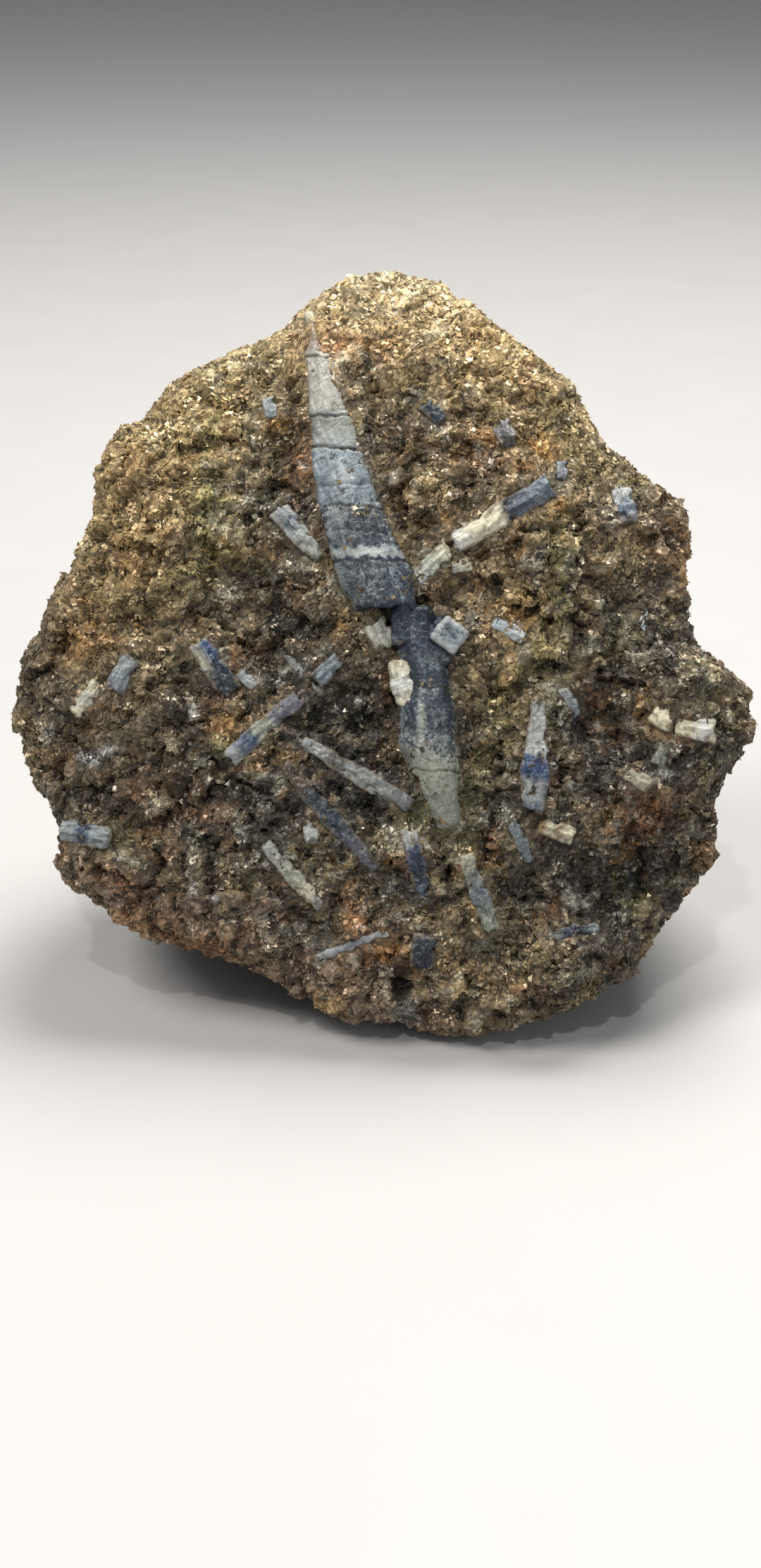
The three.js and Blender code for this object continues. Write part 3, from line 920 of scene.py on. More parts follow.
@dataclass
class Stone:
    """The broken mica schist: relief, colour, and seats drawn tight round the crystals.

    Attributes:
        voxel: Size of the skin's faces in mm.
        seat_reach: How near to a crystal the rock is drawn on to it, in mm.
        seat_tight: How near to a crystal it is drawn right up to it, in mm.
        seat_overlap: How far it is drawn into the crystal, in mm.
        patches: Colours of the broken face, some of them painted shade, the first ones lowest.
        hollow: The hollow below the foot block.
    """

    voxel: float = 0.51
    seat_reach: float = 0.75
    seat_tight: float = 0.42
    seat_overlap: float = 0.06
    patches: tuple[Patch, ...] = field(default_factory=lambda: FACE_PATCHES)
    hollow: Hollow = Hollow()

    def build(self, solid: Mesh, crystals: BVHTree, small: BVHTree, finish: Material) -> Piece:
        """Build the stone's skin and fix it to the specimen.

        Args:
            solid: The stone's solid.
            crystals: All the crystals' surfaces.
            small: The surfaces of all but the long one.
            finish: The rock's material.

        Returns:
            The finished piece.
        """
        mesh = remeshed(new_mesh("stone_copy", [solid], weld=True), self.voxel, "stone_skin")
        above = step(points_of(mesh)[:, 2] / MM, 0.2, 2.5)
        rim = 0.5 + 0.5 * inside_rim(FACE.read(points_of(mesh)))
        store(mesh, "freedom", step(self._distance(mesh, crystals), 0.35, 1.5) * above * rim)
        store(mesh, "beside", (1 - step(self._distance(mesh, small), 0.4, 2.0)) * above)
        grains = {"Coarse Size": 3.3, "Fine Size": 1.3, "Seed": 4}
        mesh = run_tree(mesh, self._relief_tree(), grains, "stone_skin")
        sunk = self.hollow.cover(FACE.read(points_of(mesh)))[:, None] * np.array(FACE.axes().col[2])
        set_points(mesh, points_of(mesh) - sunk * self.hollow.depth * MM)
        self._seat(mesh, crystals)
        self._colour(mesh, crystals)
        coat(mesh, finish)
        mesh.shade_flat()
        piece = linked_object("muscovite_stone", mesh)
        show(piece, ROCK_SLOT, STONE)
        return piece

    @staticmethod
    def _distance(mesh: Mesh, crystals: BVHTree) -> Array:
        """Return how far each point is from the nearest crystal, up to a limit, in mm."""
        found = [crystals.find_nearest(Vector(point), FAR * MM)[3] for point in points_of(mesh)]
        return np.array([FAR if distance is None else distance / MM for distance in found])

    def _relief_tree(self) -> Tree:
        """Build the tree that breaks the skin into tilted grains of two sizes.

        Returns:
            The tree.
        """
        graph, source, result = new_group(
            "Broken rock relief", "GeometryNodeTree",
            {"Geometry": GEOMETRY, "Coarse Size": 3.3, "Coarse Tilt": 0.42, "Fine Size": 1.3,
             "Fine Tilt": 0.42, "Groove": 0.25, "Climb": 0.9, "Warp": 1.6 * MM, "Scatter": 0.1, "Seed": 1},
            {"Geometry": GEOMETRY},
        )
        given = source.outputs
        straight = graph.add("GeometryNodeInputPosition").outputs[0]
        bent = graph.vector("SUBTRACT", graph.noise(straight, 380.0, 3.0).outputs[1], MIDDLE)
        place = graph.vector("ADD", straight, graph.scaled(bent, graph.times(given["Warp"], 2.0)))
        coarse = self._grains(graph, place, given["Coarse Size"], given["Coarse Tilt"])
        fine = self._grains(graph, place, given["Fine Size"], given["Fine Tilt"])
        spread = graph.scaled(place, graph.math("DIVIDE", 1 / MM, given["Coarse Size"]))
        joints = graph.cells(spread, feature="DISTANCE_TO_EDGE").outputs[0]
        groove = graph.times(graph.ramp(joints, 0.0, 0.17, -1.0, 0.0), given["Groove"])
        freedom = graph.named("freedom")
        broken = graph.times(graph.plus(coarse, fine, groove), freedom)
        heaps = graph.noise(straight, 420.0, 2.0).outputs[0]
        heaped = graph.times(graph.ramp(heaps, 0.42, 0.66), given["Climb"])
        climb = graph.times(graph.named("beside"), heaped)
        shake = graph.random(given["Seed"], (-1.0, -1.0, -1.0), (1.0, 1.0, 1.0), "FLOAT_VECTOR")
        shaken = graph.scaled(shake, graph.times(given["Scatter"], MM, freedom))
        offset = graph.vector("ADD", graph.outward(graph.plus(broken, climb)), shaken)
        # The grains' height is kept as relief; the rock's material paints shade from it in the pits and light
        # on the raised grains.
        stored = graph.kept(given["Geometry"], "relief", broken)
        moved = graph.add("GeometryNodeSetPosition", {"Geometry": stored, "Offset": offset})
        return graph.end(result, moved.outputs[0])

    @staticmethod
    def _grains(graph: Graph, place: Socket, size: Socket, tilt: Socket) -> Socket:
        """Add tilted grains of one size.

        Args:
            graph: The tree's graph.
            place: Where each point lies.
            size: Size of the grains in mm.
            tilt: How far they are tilted.

        Returns:
            The socket of their height in mm.
        """
        spread = graph.scaled(place, graph.math("DIVIDE", 1 / MM, size))
        cells = graph.cells(spread)
        away = graph.vector("SUBTRACT", spread, cells.outputs["Position"])
        own = graph.vector("SUBTRACT", cells.outputs["Color"], MIDDLE)
        slope = graph.times(graph.vector("DOT_PRODUCT", away, own, output="Value"), 2.0)
        rise = graph.times(graph.parts(own)["X"], 0.45)
        return graph.times(graph.plus(slope, rise), size, tilt)

    def _seat(self, mesh: Mesh, crystals: BVHTree) -> None:
        """Draw the rock round each crystal on to it, so that no seat stands open, and flatten the foot.

        Args:
            mesh: The stone's skin.
            crystals: All the crystals' surfaces.
        """
        points = points_of(mesh)
        for index, point in enumerate(points):
            nearest, _, _, distance = crystals.find_nearest(Vector(point), self.seat_reach * MM)
            if nearest is None or distance < 1e-9:
                continue
            pull = 1 - float(step(np.array(distance / MM), self.seat_tight, self.seat_reach))
            points[index] += (np.array(nearest) - point) * pull * (1 + self.seat_overlap * MM / distance)
        points[:, 2] = np.maximum(points[:, 2], 0)
        set_points(mesh, points)

    def _colour(self, mesh: Mesh, crystals: BVHTree) -> None:
        """Give each point its tone, its share of flakes and its zone.

        Args:
            mesh: The stone's skin.
            crystals: All the crystals' surfaces.
        """
        points = points_of(mesh)
        face = FACE.read(points)
        # The tone carries the face's painted shade as well as its colours, and the flakes take it up.
        store(mesh, "tone", rock_tones(points, self.patches))
        share = 0.45 + 0.55 * step(face[:, 2], -5, 2)
        free = step(self._distance(mesh, crystals), 0.0, 0.15) * step(points[:, 2] / MM, 0.7, 1.6)
        # No flakes in the hollow, so that its painted shade shows.
        store(mesh, "cover", free * share * (1 - self.hollow.cover(face)))
        store(mesh, "motley", 0.3 + 0.7 * inside_rim(face) * step(face[:, 0], -24, -17))
        store(mesh, "zone", zones_of(face))


def inside_rim(face: Array) -> Array:
    """Return 1 for rows well inside the broken face and 0 on its rim, its crown and everything behind."""
    crown = 1 - step(face[:, 1], 24, 36)
    return step(face[:, 2], 0, 5) * crown


def rock_tones(points: Array, patches: tuple[Patch, ...]) -> Array:
    """Return the rock's broad colours, painted shade among them.

    Args:
        points: Rows of x, y and z in metres.
        patches: Colours of the broken face, some of them painted shade, the first ones lowest.

    Returns:
        Rows of linear red, green, blue and alpha.
    """
    face = FACE.read(points)
    tones = np.tile(Tone.BROWN.linear(), (len(face), 1))
    for patch in patches:
        tones = laid_over(tones, patch.tone, patch.cover(face))
    front = step(face[:, 2], -11, -4)[:, None]
    tones = tones * front + back_tones(points) * (1 - front)
    tones[:, 3] = 1
    return tones


def back_tones(points: Array) -> Array:
    """Return the colours of the flanks and the back, in broad bands of the mica layers.

    Args:
        points: Rows of x, y and z in metres.

    Returns:
        Rows of linear red, green, blue and alpha.
    """
    across_layers = np.array((0.32, -0.4, -0.86))
    layers = points @ across_layers / MM
    wave = np.sin(layers * 0.42 + np.sin(points[:, 0] / MM * 0.13) * 1.7)
    shares = {
        Tone.BRONZE: step(wave, 0.1, 0.9) * 0.6, Tone.DARK_BROWN: step(-wave, 0.3, 1.0) * 0.6,
        Tone.GOLD: step(points[:, 2] / MM, 55, 74) * 0.7,
    }
    tones = np.tile(Tone.BROWN.linear(), (len(points), 1))
    for tone, share in shares.items():
        tones = laid_over(tones, tone, share)
    return tones


class Zone(Enum):
    """Stretches of the stone whose flakes are one piece each."""

    FACE_LEFT = 0
    FACE_MIDDLE = 1
    FACE_RIGHT = 2
    RIM = 3
    LEFT_BACK = 4
    RIGHT_BACK = 5


def zones_of(face: Array) -> Array:
    """Sort points into the zones of the stone.

    Args:
        face: Rows of across, up and out.

    Returns:
        The zone's number for each row.
    """
    across, out = face[:, 0], face[:, 2]
    zone = np.where(across < -10, Zone.FACE_LEFT.value, Zone.FACE_RIGHT.value)
    zone = np.where(np.abs(across + 0.5) <= 9.5, Zone.FACE_MIDDLE.value, zone)
    zone = np.where(out < 2.5, Zone.RIM.value, zone)
    back = np.where(across < 0, Zone.LEFT_BACK.value, Zone.RIGHT_BACK.value)
    return np.where(out < -9, back, zone)


@dataclass
class MicaFlakes:
    """Thin plates of mica scattered over the stone.

    Attributes:
        per_square_mm: Flakes on a square millimetre where the cover is full.
        longest: Length of the longest flake in mm.
        shortest: Length of the shortest flake in mm.
        on_crystals: Flakes on a square millimetre of the small patches that cling to the crystals.
        first_seed: Where the random draws of the pieces start.
    """

    per_square_mm: dict[Zone, float] = field(default_factory=lambda: {
        Zone.FACE_LEFT: 6.2, Zone.FACE_MIDDLE: 6.2, Zone.FACE_RIGHT: 6.2,
        Zone.RIM: 5.6, Zone.LEFT_BACK: 3.3, Zone.RIGHT_BACK: 3.3,
    })
    longest: float = 0.95
    shortest: float = 0.28
    on_crystals: float = 2.5
    first_seed: int = 11

    def build(self, stone: Piece, crystals: list[Piece], finish: Material) -> list[Piece]:
        """Scatter the flakes and fix them to the specimen.

        Args:
            stone: The finished stone.
            crystals: The crystals that flakes cling to.
            finish: The flakes' material.

        Returns:
            One piece for each zone of the stone, and one for the crystals.
        """
        tree = self._tree(finish)
        made = [
            self._scatter(stone.data.copy(), tree, zone.value, density, f"mica_flakes_{zone.name.lower()}")
            for zone, density in self.per_square_mm.items()
        ]
        clinging = self._clinging_ground(crystals)
        made.append(self._scatter(clinging, tree, 0, self.on_crystals, "mica_flakes_on_crystals"))
        return made

    def _scatter(self, ground: Mesh, tree: Tree, zone: int, density: float, name: str) -> Piece:
        """Scatter flakes on one zone of a mesh.

        Args:
            ground: The mesh.
            tree: The tree that scatters the plates.
            zone: The zone's number.
            density: Flakes on a square millimetre.
            name: The piece's name.

        Returns:
            The finished piece.
        """
        values = {"Zone": zone, "Density": density / MM**2, "Longest": self.longest * MM,
                  "Shortest": self.shortest * MM, "Seed": self.first_seed + len(name) + zone}
        piece = linked_object(name, run_tree(ground, tree, values, name))
        show(piece, ROCK_SLOT)
        return piece

    @staticmethod
    def _clinging_ground(crystals: list[Piece]) -> Mesh:
        """Join the crystals' skins and mark the small patches where mica clings to them.

        Args:
            crystals: The crystals.

        Returns:
            The joined mesh.
        """
        ground = new_mesh("clinging_ground", [crystal.data for crystal in crystals], weld=False)
        points = points_of(ground)
        heart = np.array((0, 0, 0.038))
        faces_out = step(np.einsum("ij,ij->i", normals_of(ground), points - heart) / MM, 2, 12)
        patchy = np.array([noise.fractal(Vector(point) * 420, 1.0, 2.0, 3) for point in points])
        store(ground, "cover", faces_out * step(patchy, 0.28, 0.55))
        # The flakes on the crystals take the face's colours, its painted shade included.
        store(ground, "tone", rock_tones(points, FACE_PATCHES))
        store(ground, "motley", np.full(len(points), 0.3))
        store(ground, "zone", np.zeros(len(points), int))
        return ground

    def _tree(self, finish: Material) -> Tree:
        """Build the tree that scatters the plates.

        Args:
            finish: The flakes' material.

        Returns:
            The tree.
        """
        graph, source, result = new_group(
            "Mica flakes", "GeometryNodeTree",
            {"Geometry": GEOMETRY, "Zone": 0, "Density": 1e6, "Longest": 0.9 * MM, "Shortest": 0.3 * MM,
             "Thickness": 0.06 * MM, "Tilt": 0.26, "Book Size": 1.6 * MM, "Book Tilt": 0.95, "Seed": 0},
            {"Geometry": GEOMETRY},
        )
        given = source.outputs

        def draw(offset: int, low: object, high: object, kind: str = "FLOAT") -> Socket:
            """Add a random value for each flake and return its socket."""
            return graph.random(graph.plus(given["Seed"], float(offset)), low, high, kind)

        same = graph.add("FunctionNodeCompare", {2: graph.named("zone", "INT"), 3: given["Zone"]},
                         data_type="INT", operation="EQUAL")
        density = graph.times(graph.named("cover"), given["Density"])
        points = graph.add("GeometryNodeDistributePointsOnFaces", {
            "Mesh": given["Geometry"], "Selection": same.outputs[0], "Density": density,
            "Seed": given["Seed"],
        }, distribute_method="RANDOM").outputs
        place = graph.add("GeometryNodeInputPosition").outputs[0]
        spread = graph.scaled(place, graph.math("DIVIDE", 1.0, given["Book Size"]))
        book = graph.cells(spread).outputs["Color"]
        # Each flake's value, half its own and half its book's, sets its tone with its painted highlight and
        # shade in the flakes' material.
        own = graph.times(graph.plus(draw(1, 0.0, 1.0), graph.parts(book)["Z"]), 0.5)
        tilt = given["Tilt"]
        less = graph.times(tilt, -1.0)
        lean = graph.combined(draw(2, less, tilt), draw(3, less, tilt), draw(4, 0.0, math.tau))
        length = draw(5, given["Shortest"], given["Longest"])
        size = graph.combined(length, graph.times(length, draw(6, 0.5, 1.0)), given["Thickness"])
        placed = graph.add("GeometryNodeInstanceOnPoints", {
            "Points": graph.kept(points["Points"], "flake", own), "Instance": self._plates(graph),
            "Pick Instance": True, "Instance Index": draw(7, 0, 1, "INT"),
            "Rotation": self._turned(graph, points, book, given["Book Tilt"], lean), "Scale": size,
        })
        rise = graph.combined(0.0, 0.0, draw(8, -0.05 * MM, 0.1 * MM))
        moves = {"Instances": placed.outputs[0], "Translation": rise}
        lifted = graph.add("GeometryNodeTranslateInstances", moves)
        return graph.end(result, lifted.outputs[0], finish)

    @staticmethod
    def _plates(graph: Graph) -> Socket:
        """Add the shapes of the plates, with three corners and with four.

        Args:
            graph: The tree's graph.

        Returns:
            The socket of the shapes.
        """
        shapes = graph.add("GeometryNodeJoinGeometry")
        for corners in (3, 4):
            sizes = {"Vertices": corners, "Side Segments": 1, "Fill Segments": 1, "Radius": 0.5, "Depth": 1.0}
            plate = graph.add("GeometryNodeMeshCylinder", sizes, fill_type="NGON")
            single = graph.add("GeometryNodeGeometryToInstance", {0: plate.outputs["Mesh"]})
            graph.feed(shapes, {0: single.outputs[0]})
        return shapes.outputs[0]

    @staticmethod
    def _turned(graph: Graph, points: bpy.types.NodeOutputs, book: Socket, share: Socket,
                lean: Socket) -> Socket:
        """Turn each plate with its book of mica, and a little by itself.

        Args:
            graph: The tree's graph.
            points: What the node that places the flakes gives.
            book: The own value of each flake's book.
            share: How far the books are turned.
            lean: How far the flake itself leans and spins.

        Returns:
            The socket of the plates' turns.
        """
        own = graph.scaled(graph.vector("SUBTRACT", book, MIDDLE), share)
        aim = {"Rotation": points["Rotation"], "Vector": graph.vector("ADD", points["Normal"], own)}
        facing = graph.add("FunctionNodeAlignRotationToVector", aim, axis="Z")
        spin = graph.add("FunctionNodeEulerToRotation", {0: lean})
        both = {0: facing.outputs[0], 1: spin.outputs[0]}
        return graph.add("FunctionNodeRotateRotation", both, rotation_space="LOCAL").outputs[0]


@dataclass(frozen=True)
class Band:
    """Colour at one place of a crystal.

    Attributes:
        at: Share of the length from the upper end, or the left end if it lies level. On the long
            sapphire it is the place up the face in mm.
        tone: Its colour.
        fleck: How much darker blue is scattered in it, from 0 to 1.
    """

    at: float
    tone: Tone
    fleck: float = 0.1


def bands(*rows: tuple) -> tuple[Band, ...]:
    """Return bands from rows of place, tone and fleck."""
    return tuple(Band(*row) for row in rows)


def plain(*tones: Tone, fleck: float = 0.1) -> tuple[Band, ...]:
    """Return bands that run evenly through some tones from one end to the other."""
    last = max(len(tones) - 1, 1)
    return tuple(Band(i / last, tone, fleck) for i, tone in enumerate(tones))


@dataclass
class Sapphire:
    """One crystal in its seat.

    Attributes:
        node: The CAD node that it stands for.
        slot: The record's material slot.
        bands: Colours from the upper or left end to the other.
        cracks: Places of the partings, as (place on the scale of the bands, slope, depth in mm).
        shade: How light it is beside its tones, partly its own depth of colour and partly painted shade for
            the crystals low on the face.
        swell: How far its skin stands out over the solid, in mm.
        voxel: Size of its skin's faces in mm.
        spots: Colours that lie over the bands.
        dust_and_shade: How thickly rock powder lies along its edges, with painted contact shade, from 0 to 1.
        nudge: How far it is moved across, up and out from its solid's place, in mm.
    """

    node: str
    slot: str
    bands: tuple[Band, ...]
    cracks: tuple[tuple[float, float, float], ...] = ()
    shade: float = 1.0
    swell: float = 0.08
    voxel: float = 0.16
    spots: tuple[Patch, ...] = ()
    dust_and_shade: float = 0.75
    nudge: tuple[float, float, float] = NO_MOVE

    def build(self, solid: Mesh, finishes: dict[str, Material], wear: Tree) -> Piece:
        """Build the crystal and fix it to the specimen.

        Args:
            solid: The crystal's solid.
            finishes: Materials by slot.
            wear: The tree that wears a crystal's faces and ends.

        Returns:
            The finished piece.
        """
        name = f"{self.node}_dressed"
        mesh = remeshed(self._copy(solid), self.voxel, name)
        grain = self._grain(mesh)
        store(mesh, "grain", grain)
        moved = np.array(FACE.axes()) @ np.array(self.nudge)
        set_points(mesh, points_of(mesh) + (normals_of(mesh) * self.swell + moved) * MM)
        mesh = run_tree(mesh, wear, self._wear(), name)
        self._carve(mesh, grain)
        self._colour(mesh, grain)
        coat(mesh, finishes[self.slot])
        mesh.shade_smooth()
        piece = linked_object(f"crystal_{self.node.removeprefix('sapphire_')}", mesh)
        show(piece, self.slot, self.node)
        return piece

    def _copy(self, solid: Mesh) -> Mesh:
        """Return a copy of the crystal's solid."""
        return new_mesh(f"{self.node}_copy", [solid], weld=True)

    def _grain(self, mesh: Mesh) -> Array:
        """Read where each point stands on the crystal's own axes.

        Args:
            mesh: The crystal's skin.

        Returns:
            Rows of along, beside and above the crystal's axis, in mm.
        """
        points = points_of(mesh)
        centred = (points - points.mean(0)) / MM
        _, _, rows = np.linalg.svd(centred - centred.mean(0), full_matrices=False)
        axis = rows[0] * self._sign(rows[0])
        side = np.cross(axis, np.array(FACE.axes().col[2]))
        side /= np.linalg.norm(side)
        return centred @ np.array((axis, side, np.cross(side, axis))).T

    @staticmethod
    def _sign(axis: Array) -> float:
        """Find which way an axis runs.

        Args:
            axis: The axis.

        Returns:
            1 if it runs down, or right where it lies nearly level, and else -1.
        """
        across, up, _ = np.array(FACE.axes()).T @ axis
        if abs(up) > 0.35 * abs(across):
            return 1.0 if up < 0 else -1.0
        return 1.0 if across > 0 else -1.0

    def _wear(self) -> dict:
        """Return the wear of this crystal's faces and ends."""
        return {"Streak Depth": 0.08, "Chip Depth": 0.26, "Wave Depth": 0.5}

    def _carve(self, mesh: Mesh, grain: Array) -> None:
        """Cut the partings that cross the crystal, and mark them.

        Args:
            mesh: The crystal's skin.
            grain: Rows of along, beside and above its axis.
        """
        reading, unit, side = self._reading(mesh, grain), self._unit(grain), grain[:, 1]
        half_width, fully_marked = 0.15, 0.25
        inward = np.zeros(len(grain))
        for at, slope, depth in self.cracks:
            ragged = 0.09 * np.sin(side * 2.3 + at * 9) + 0.05 * np.sin(side * 6.1 + at * 27)
            off = (reading - at) * unit - slope * side - ragged
            inward += depth * np.exp(-((off / half_width) ** 2))
        store(mesh, "parting", np.clip(inward / fully_marked, 0, 1))
        set_points(mesh, points_of(mesh) - normals_of(mesh) * (inward * MM)[:, None])

    def _spots(self, mesh: Mesh, tint: Array, fleck: Array) -> tuple[Array, Array]:
        """Lay the crystal's own spots over its bands.

        Args:
            mesh: The crystal's skin.
            tint: Colours so far.
            fleck: Flecks so far.

        Returns:
            The new colours and flecks.
        """
        face = FACE.read(points_of(mesh))
        for spot in self.spots:
            cover = spot.cover(face)
            tint = laid_over(tint, spot.tone, cover)
            fleck = fleck * (1 - 0.6 * cover)
        return tint, fleck

    def _reading(self, mesh: Mesh, grain: Array) -> Array:
        """Return where each point stands on the scale of the bands."""
        along = grain[:, 0]
        return (along - along.min()) / self._unit(grain)

    def _unit(self, grain: Array) -> float:
        """Return the length of one unit on the scale of the bands, in mm."""
        return float(np.ptp(grain[:, 0]))

    @staticmethod
    def _edges(grain: Array) -> Array:
        """Find the crystal's ragged side edges.

        Args:
            grain: Rows of along, beside and above its axis.

        Returns:
            1 at the edges and 0 well inside them, for each row.
        """
        stretch, fewest = 0.6, 3
        along, side = grain[:, 0], grain[:, 1]
        low, high = along.min(), along.max()
        count = max(int((high - low) / stretch), fewest)
        cell = np.minimum(((along - low) / (high - low) * count).astype(int), count - 1)
        left, right = np.full(count, np.inf), np.full(count, -np.inf)
        np.minimum.at(left, cell, side)
        np.maximum.at(right, cell, side)
        middles = low + (np.arange(count) + 0.5) / count * (high - low)
        nearest, farthest = np.interp(along, middles, left), np.interp(along, middles, right)
        inside = np.minimum(side - nearest, farthest - side)
        inside = np.minimum(inside, np.minimum(along - low, high - along))
        reach = np.clip(0.16 * (farthest - nearest), 0.1, 0.4)
        ragged = 0.5 * np.sin(along * 4.1 + side * 2.3) * np.sin(along * 1.7 - side * 5.9 + 1.0)
        return 1 - step(inside / reach + ragged, 0.0, 1.0)

    def _colour(self, mesh: Mesh, grain: Array) -> None:
        """Blend the bands along the crystal and lay rock powder and painted contact shade along its edges.

        Args:
            mesh: The crystal's skin.
            grain: Rows of along, beside and above its axis.
        """
        wobble = 0.22 / self._unit(grain) * np.sin(grain[:, 1] * 5.1 + grain[:, 2] * 3.7)
        reading = self._reading(mesh, grain) + wobble
        rows = sorted(self.bands, key=lambda band: band.at)
        places = [band.at for band in rows]
        colours = np.array([band.tone.linear() for band in rows])
        tint = np.stack([np.interp(reading, places, colours[:, i]) for i in range(4)], 1)
        fleck = np.interp(reading, places, [band.fleck for band in rows])
        tint, fleck = self._spots(mesh, tint, fleck)
        # The crystal's shade darkens or lightens its tones, partly painted shade for the crystals low on the
        # face.
        tint[:, :3] *= self.shade
        # Brown along the ragged edges: rock powder, partly painted contact shade where the crystal meets the
        # rock.
        dust_and_shade_share = self.dust_and_shade * self._edges(grain)
        store(mesh, "tint", laid_over(tint, Tone.BROWN, dust_and_shade_share))
        store(mesh, "fleck", fleck * (1 - dust_and_shade_share))


@dataclass(frozen=True)
class Block:
    """A squared block that stands up from the long sapphire.

    Attributes:
        corners: Corners of its outer face in order, across and up in mm.
        level: How far out that face stands, in mm.
        root: How far across, up and out its hidden root lies from it, in mm.
    """

    corners: tuple[tuple[float, float], ...]
    level: float
    root: tuple[float, float, float]

    def join(self, mesh: Mesh) -> None:
        """Add the block to a mesh, to be fused with it by its new skin.

        Args:
            mesh: The crystal's mesh.
        """
        built = bmesh.new()
        built.from_mesh(mesh)
        front, back = (
            [built.verts.new(FACE.place(across + x, up + y, self.level + z)) for across, up in self.corners]
            for x, y, z in (NO_MOVE, self.root)
        )
        faces = [built.faces.new(front), built.faces.new(back[::-1])]
        for i, j in ((0, 1), (1, 2), (2, 3), (3, 0)):
            faces.append(built.faces.new((front[i], back[i], back[j], front[j])))
        bmesh.ops.recalc_face_normals(built, faces=faces)
        built.to_mesh(mesh)
        built.free()


@dataclass(frozen=True)
class EndFace(Block):
    """The square end of the side shoot: a clear face in a thin pale rim.

    Attributes:
        rim: Width of the pale rim in mm.
    """

    corners: tuple[tuple[float, float], ...] = ((7.1, 3.0), (9.2, 1.4), (7.7, -0.5), (5.5, 1.15))
    level: float = 11.7
    root: tuple[float, float, float] = (-1.8, -1.8, -5.0)
    rim: float = 0.16

    def paint(self, face: Array, tint: Array, fleck: Array) -> tuple[Array, Array]:
        """Colour the end face and its rim.

        Args:
            face: Rows of across, up and out.
            tint: Colours so far.
            fleck: Flecks so far.

        Returns:
            The new colours and flecks.
        """
        corners = np.array(self.corners)
        middle = corners.mean(0)
        inside = np.full(len(face), 9.0)
        for start, end in zip(corners, np.roll(corners, -1, 0)):
            along = (end - start) / np.linalg.norm(end - start)
            inward = np.array((along[1], -along[0]))
            inward *= np.sign(inward @ (middle - start))
            inside = np.minimum(inside, (face[:, :2] - start) @ inward)
        near = step(face[:, 2], self.level - 0.5, self.level) * step(inside, -0.5, -0.3)
        clear = near * step(inside, self.rim, self.rim + 0.2)
        edge = near - clear
        dark = clear * Patch(Tone.NAVY, middle[0] - 0.3, middle[1] + 0.7, 0.7, 0.5, 0.7, -35).cover(face)
        for tone, cover in ((Tone.ICE, clear), (Tone.NAVY, dark), (Tone.WHITE, edge * 0.6)):
            tint = laid_over(tint, tone, cover)
        return tint, fleck * (1 - 0.4 * clear - 0.7 * edge)


class LongSapphire(Sapphire):
    """The long tapered sapphire, whose bands and partings are given in mm up the face."""

    def _copy(self, solid: Mesh) -> Mesh:
        """Return the crystal's solid, its side shoot and its lower stretch's top squared.

        Args:
            solid: The crystal's solid.

        Returns:
            The copy.
        """
        mesh = super()._copy(solid)
        for block in (EndFace(), SHOULDER):
            block.join(mesh)
        return mesh

    def _grain(self, mesh: Mesh) -> Array:
        """Widen the crystal about its course, trim its lower stretch's top, and read its grain.

        Args:
            mesh: The crystal's skin.

        Returns:
            Rows of along, beside and above the crystal's axis, in mm.
        """
        points = points_of(mesh)
        right, above, _ = FACE.read(points).T
        ups, *columns = np.array(LONG_COURSE).T
        course, width, shift, rise = (np.interp(above, ups, column) for column in columns)
        upper = step(above, 3.6, 5.0) * (1 - step(right, 2.6, 3.2) * (1 - step(above, 6.0, 7.5)))
        wider = (width - 1) * (right - course) * upper
        wider += shift * upper
        lower = step(right, 1.9, 2.6) * step(above, 3.4, 3.9) * (1 - step(above, 7.0, 9.0))
        drop = np.maximum(above - 3.8, 0) * 0.8 * lower
        across, up, out = np.array(FACE.axes()).T
        moved = wider[:, None] * across - drop[:, None] * up + rise[:, None] * out
        set_points(mesh, points + moved * MM)
        return super()._grain(mesh)

    def _wear(self) -> dict:
        """Return the wear of the long sapphire."""
        return {"Streak Depth": 0.2, "Chip Depth": 0.14, "Wave Depth": 0.13}

    def _reading(self, mesh: Mesh, grain: Array) -> Array:
        """Return each point's place up the face in mm."""
        return FACE.read(points_of(mesh))[:, 1]

    def _unit(self, grain: Array) -> float:
        """Return 1, because this crystal's scale is in mm."""
        return 1.0

    def _spots(self, mesh: Mesh, tint: Array, fleck: Array) -> tuple[Array, Array]:
        """Return the tint and the flecks with the spots and the side shoot's end laid over them."""
        tint, fleck = super()._spots(mesh, tint, fleck)
        return EndFace().paint(FACE.read(points_of(mesh)), tint, fleck)


def wear_tree() -> Tree:
    """Build the tree that streaks, chips and breaks a crystal's faces and ends.

    Returns:
        The tree.
    """
    graph, source, result = new_group(
        "Crystal wear", "GeometryNodeTree",
        {"Geometry": GEOMETRY, "Streak Depth": 0.07, "Chip Depth": 0.12, "Wave Depth": 0.3},
        {"Geometry": GEOMETRY},
    )
    given = source.outputs
    grain = graph.named("grain", "FLOAT_VECTOR")
    streak = graph.noise(graph.vector("MULTIPLY", grain, (0.22, 2.6, 2.6)), 1.0, 2.0).outputs[0]
    cells = graph.cells(graph.vector("MULTIPLY", grain, (0.9, 1.4, 1.4)))
    wave = graph.noise(graph.vector("MULTIPLY", grain, (0.55, 0.8, 0.8)), 1.0, 3.0, 0.6).outputs[0]
    chip = graph.ramp(graph.parts(cells.outputs["Color"])["Y"], 0.55, 1.0)
    streaked = graph.times(graph.math("SUBTRACT", streak, 0.6), given["Streak Depth"])
    chipped = graph.times(chip, given["Chip Depth"])
    waved = graph.times(graph.math("SUBTRACT", wave, 0.52), graph.times(given["Wave Depth"], 2.0))
    lift = graph.outward(graph.plus(graph.math("SUBTRACT", streaked, chipped), waved))
    moved = graph.add("GeometryNodeSetPosition", {"Geometry": given["Geometry"], "Offset": lift})
    return graph.end(result, moved.outputs[0])


# A short name for the tables of colours
T = Tone
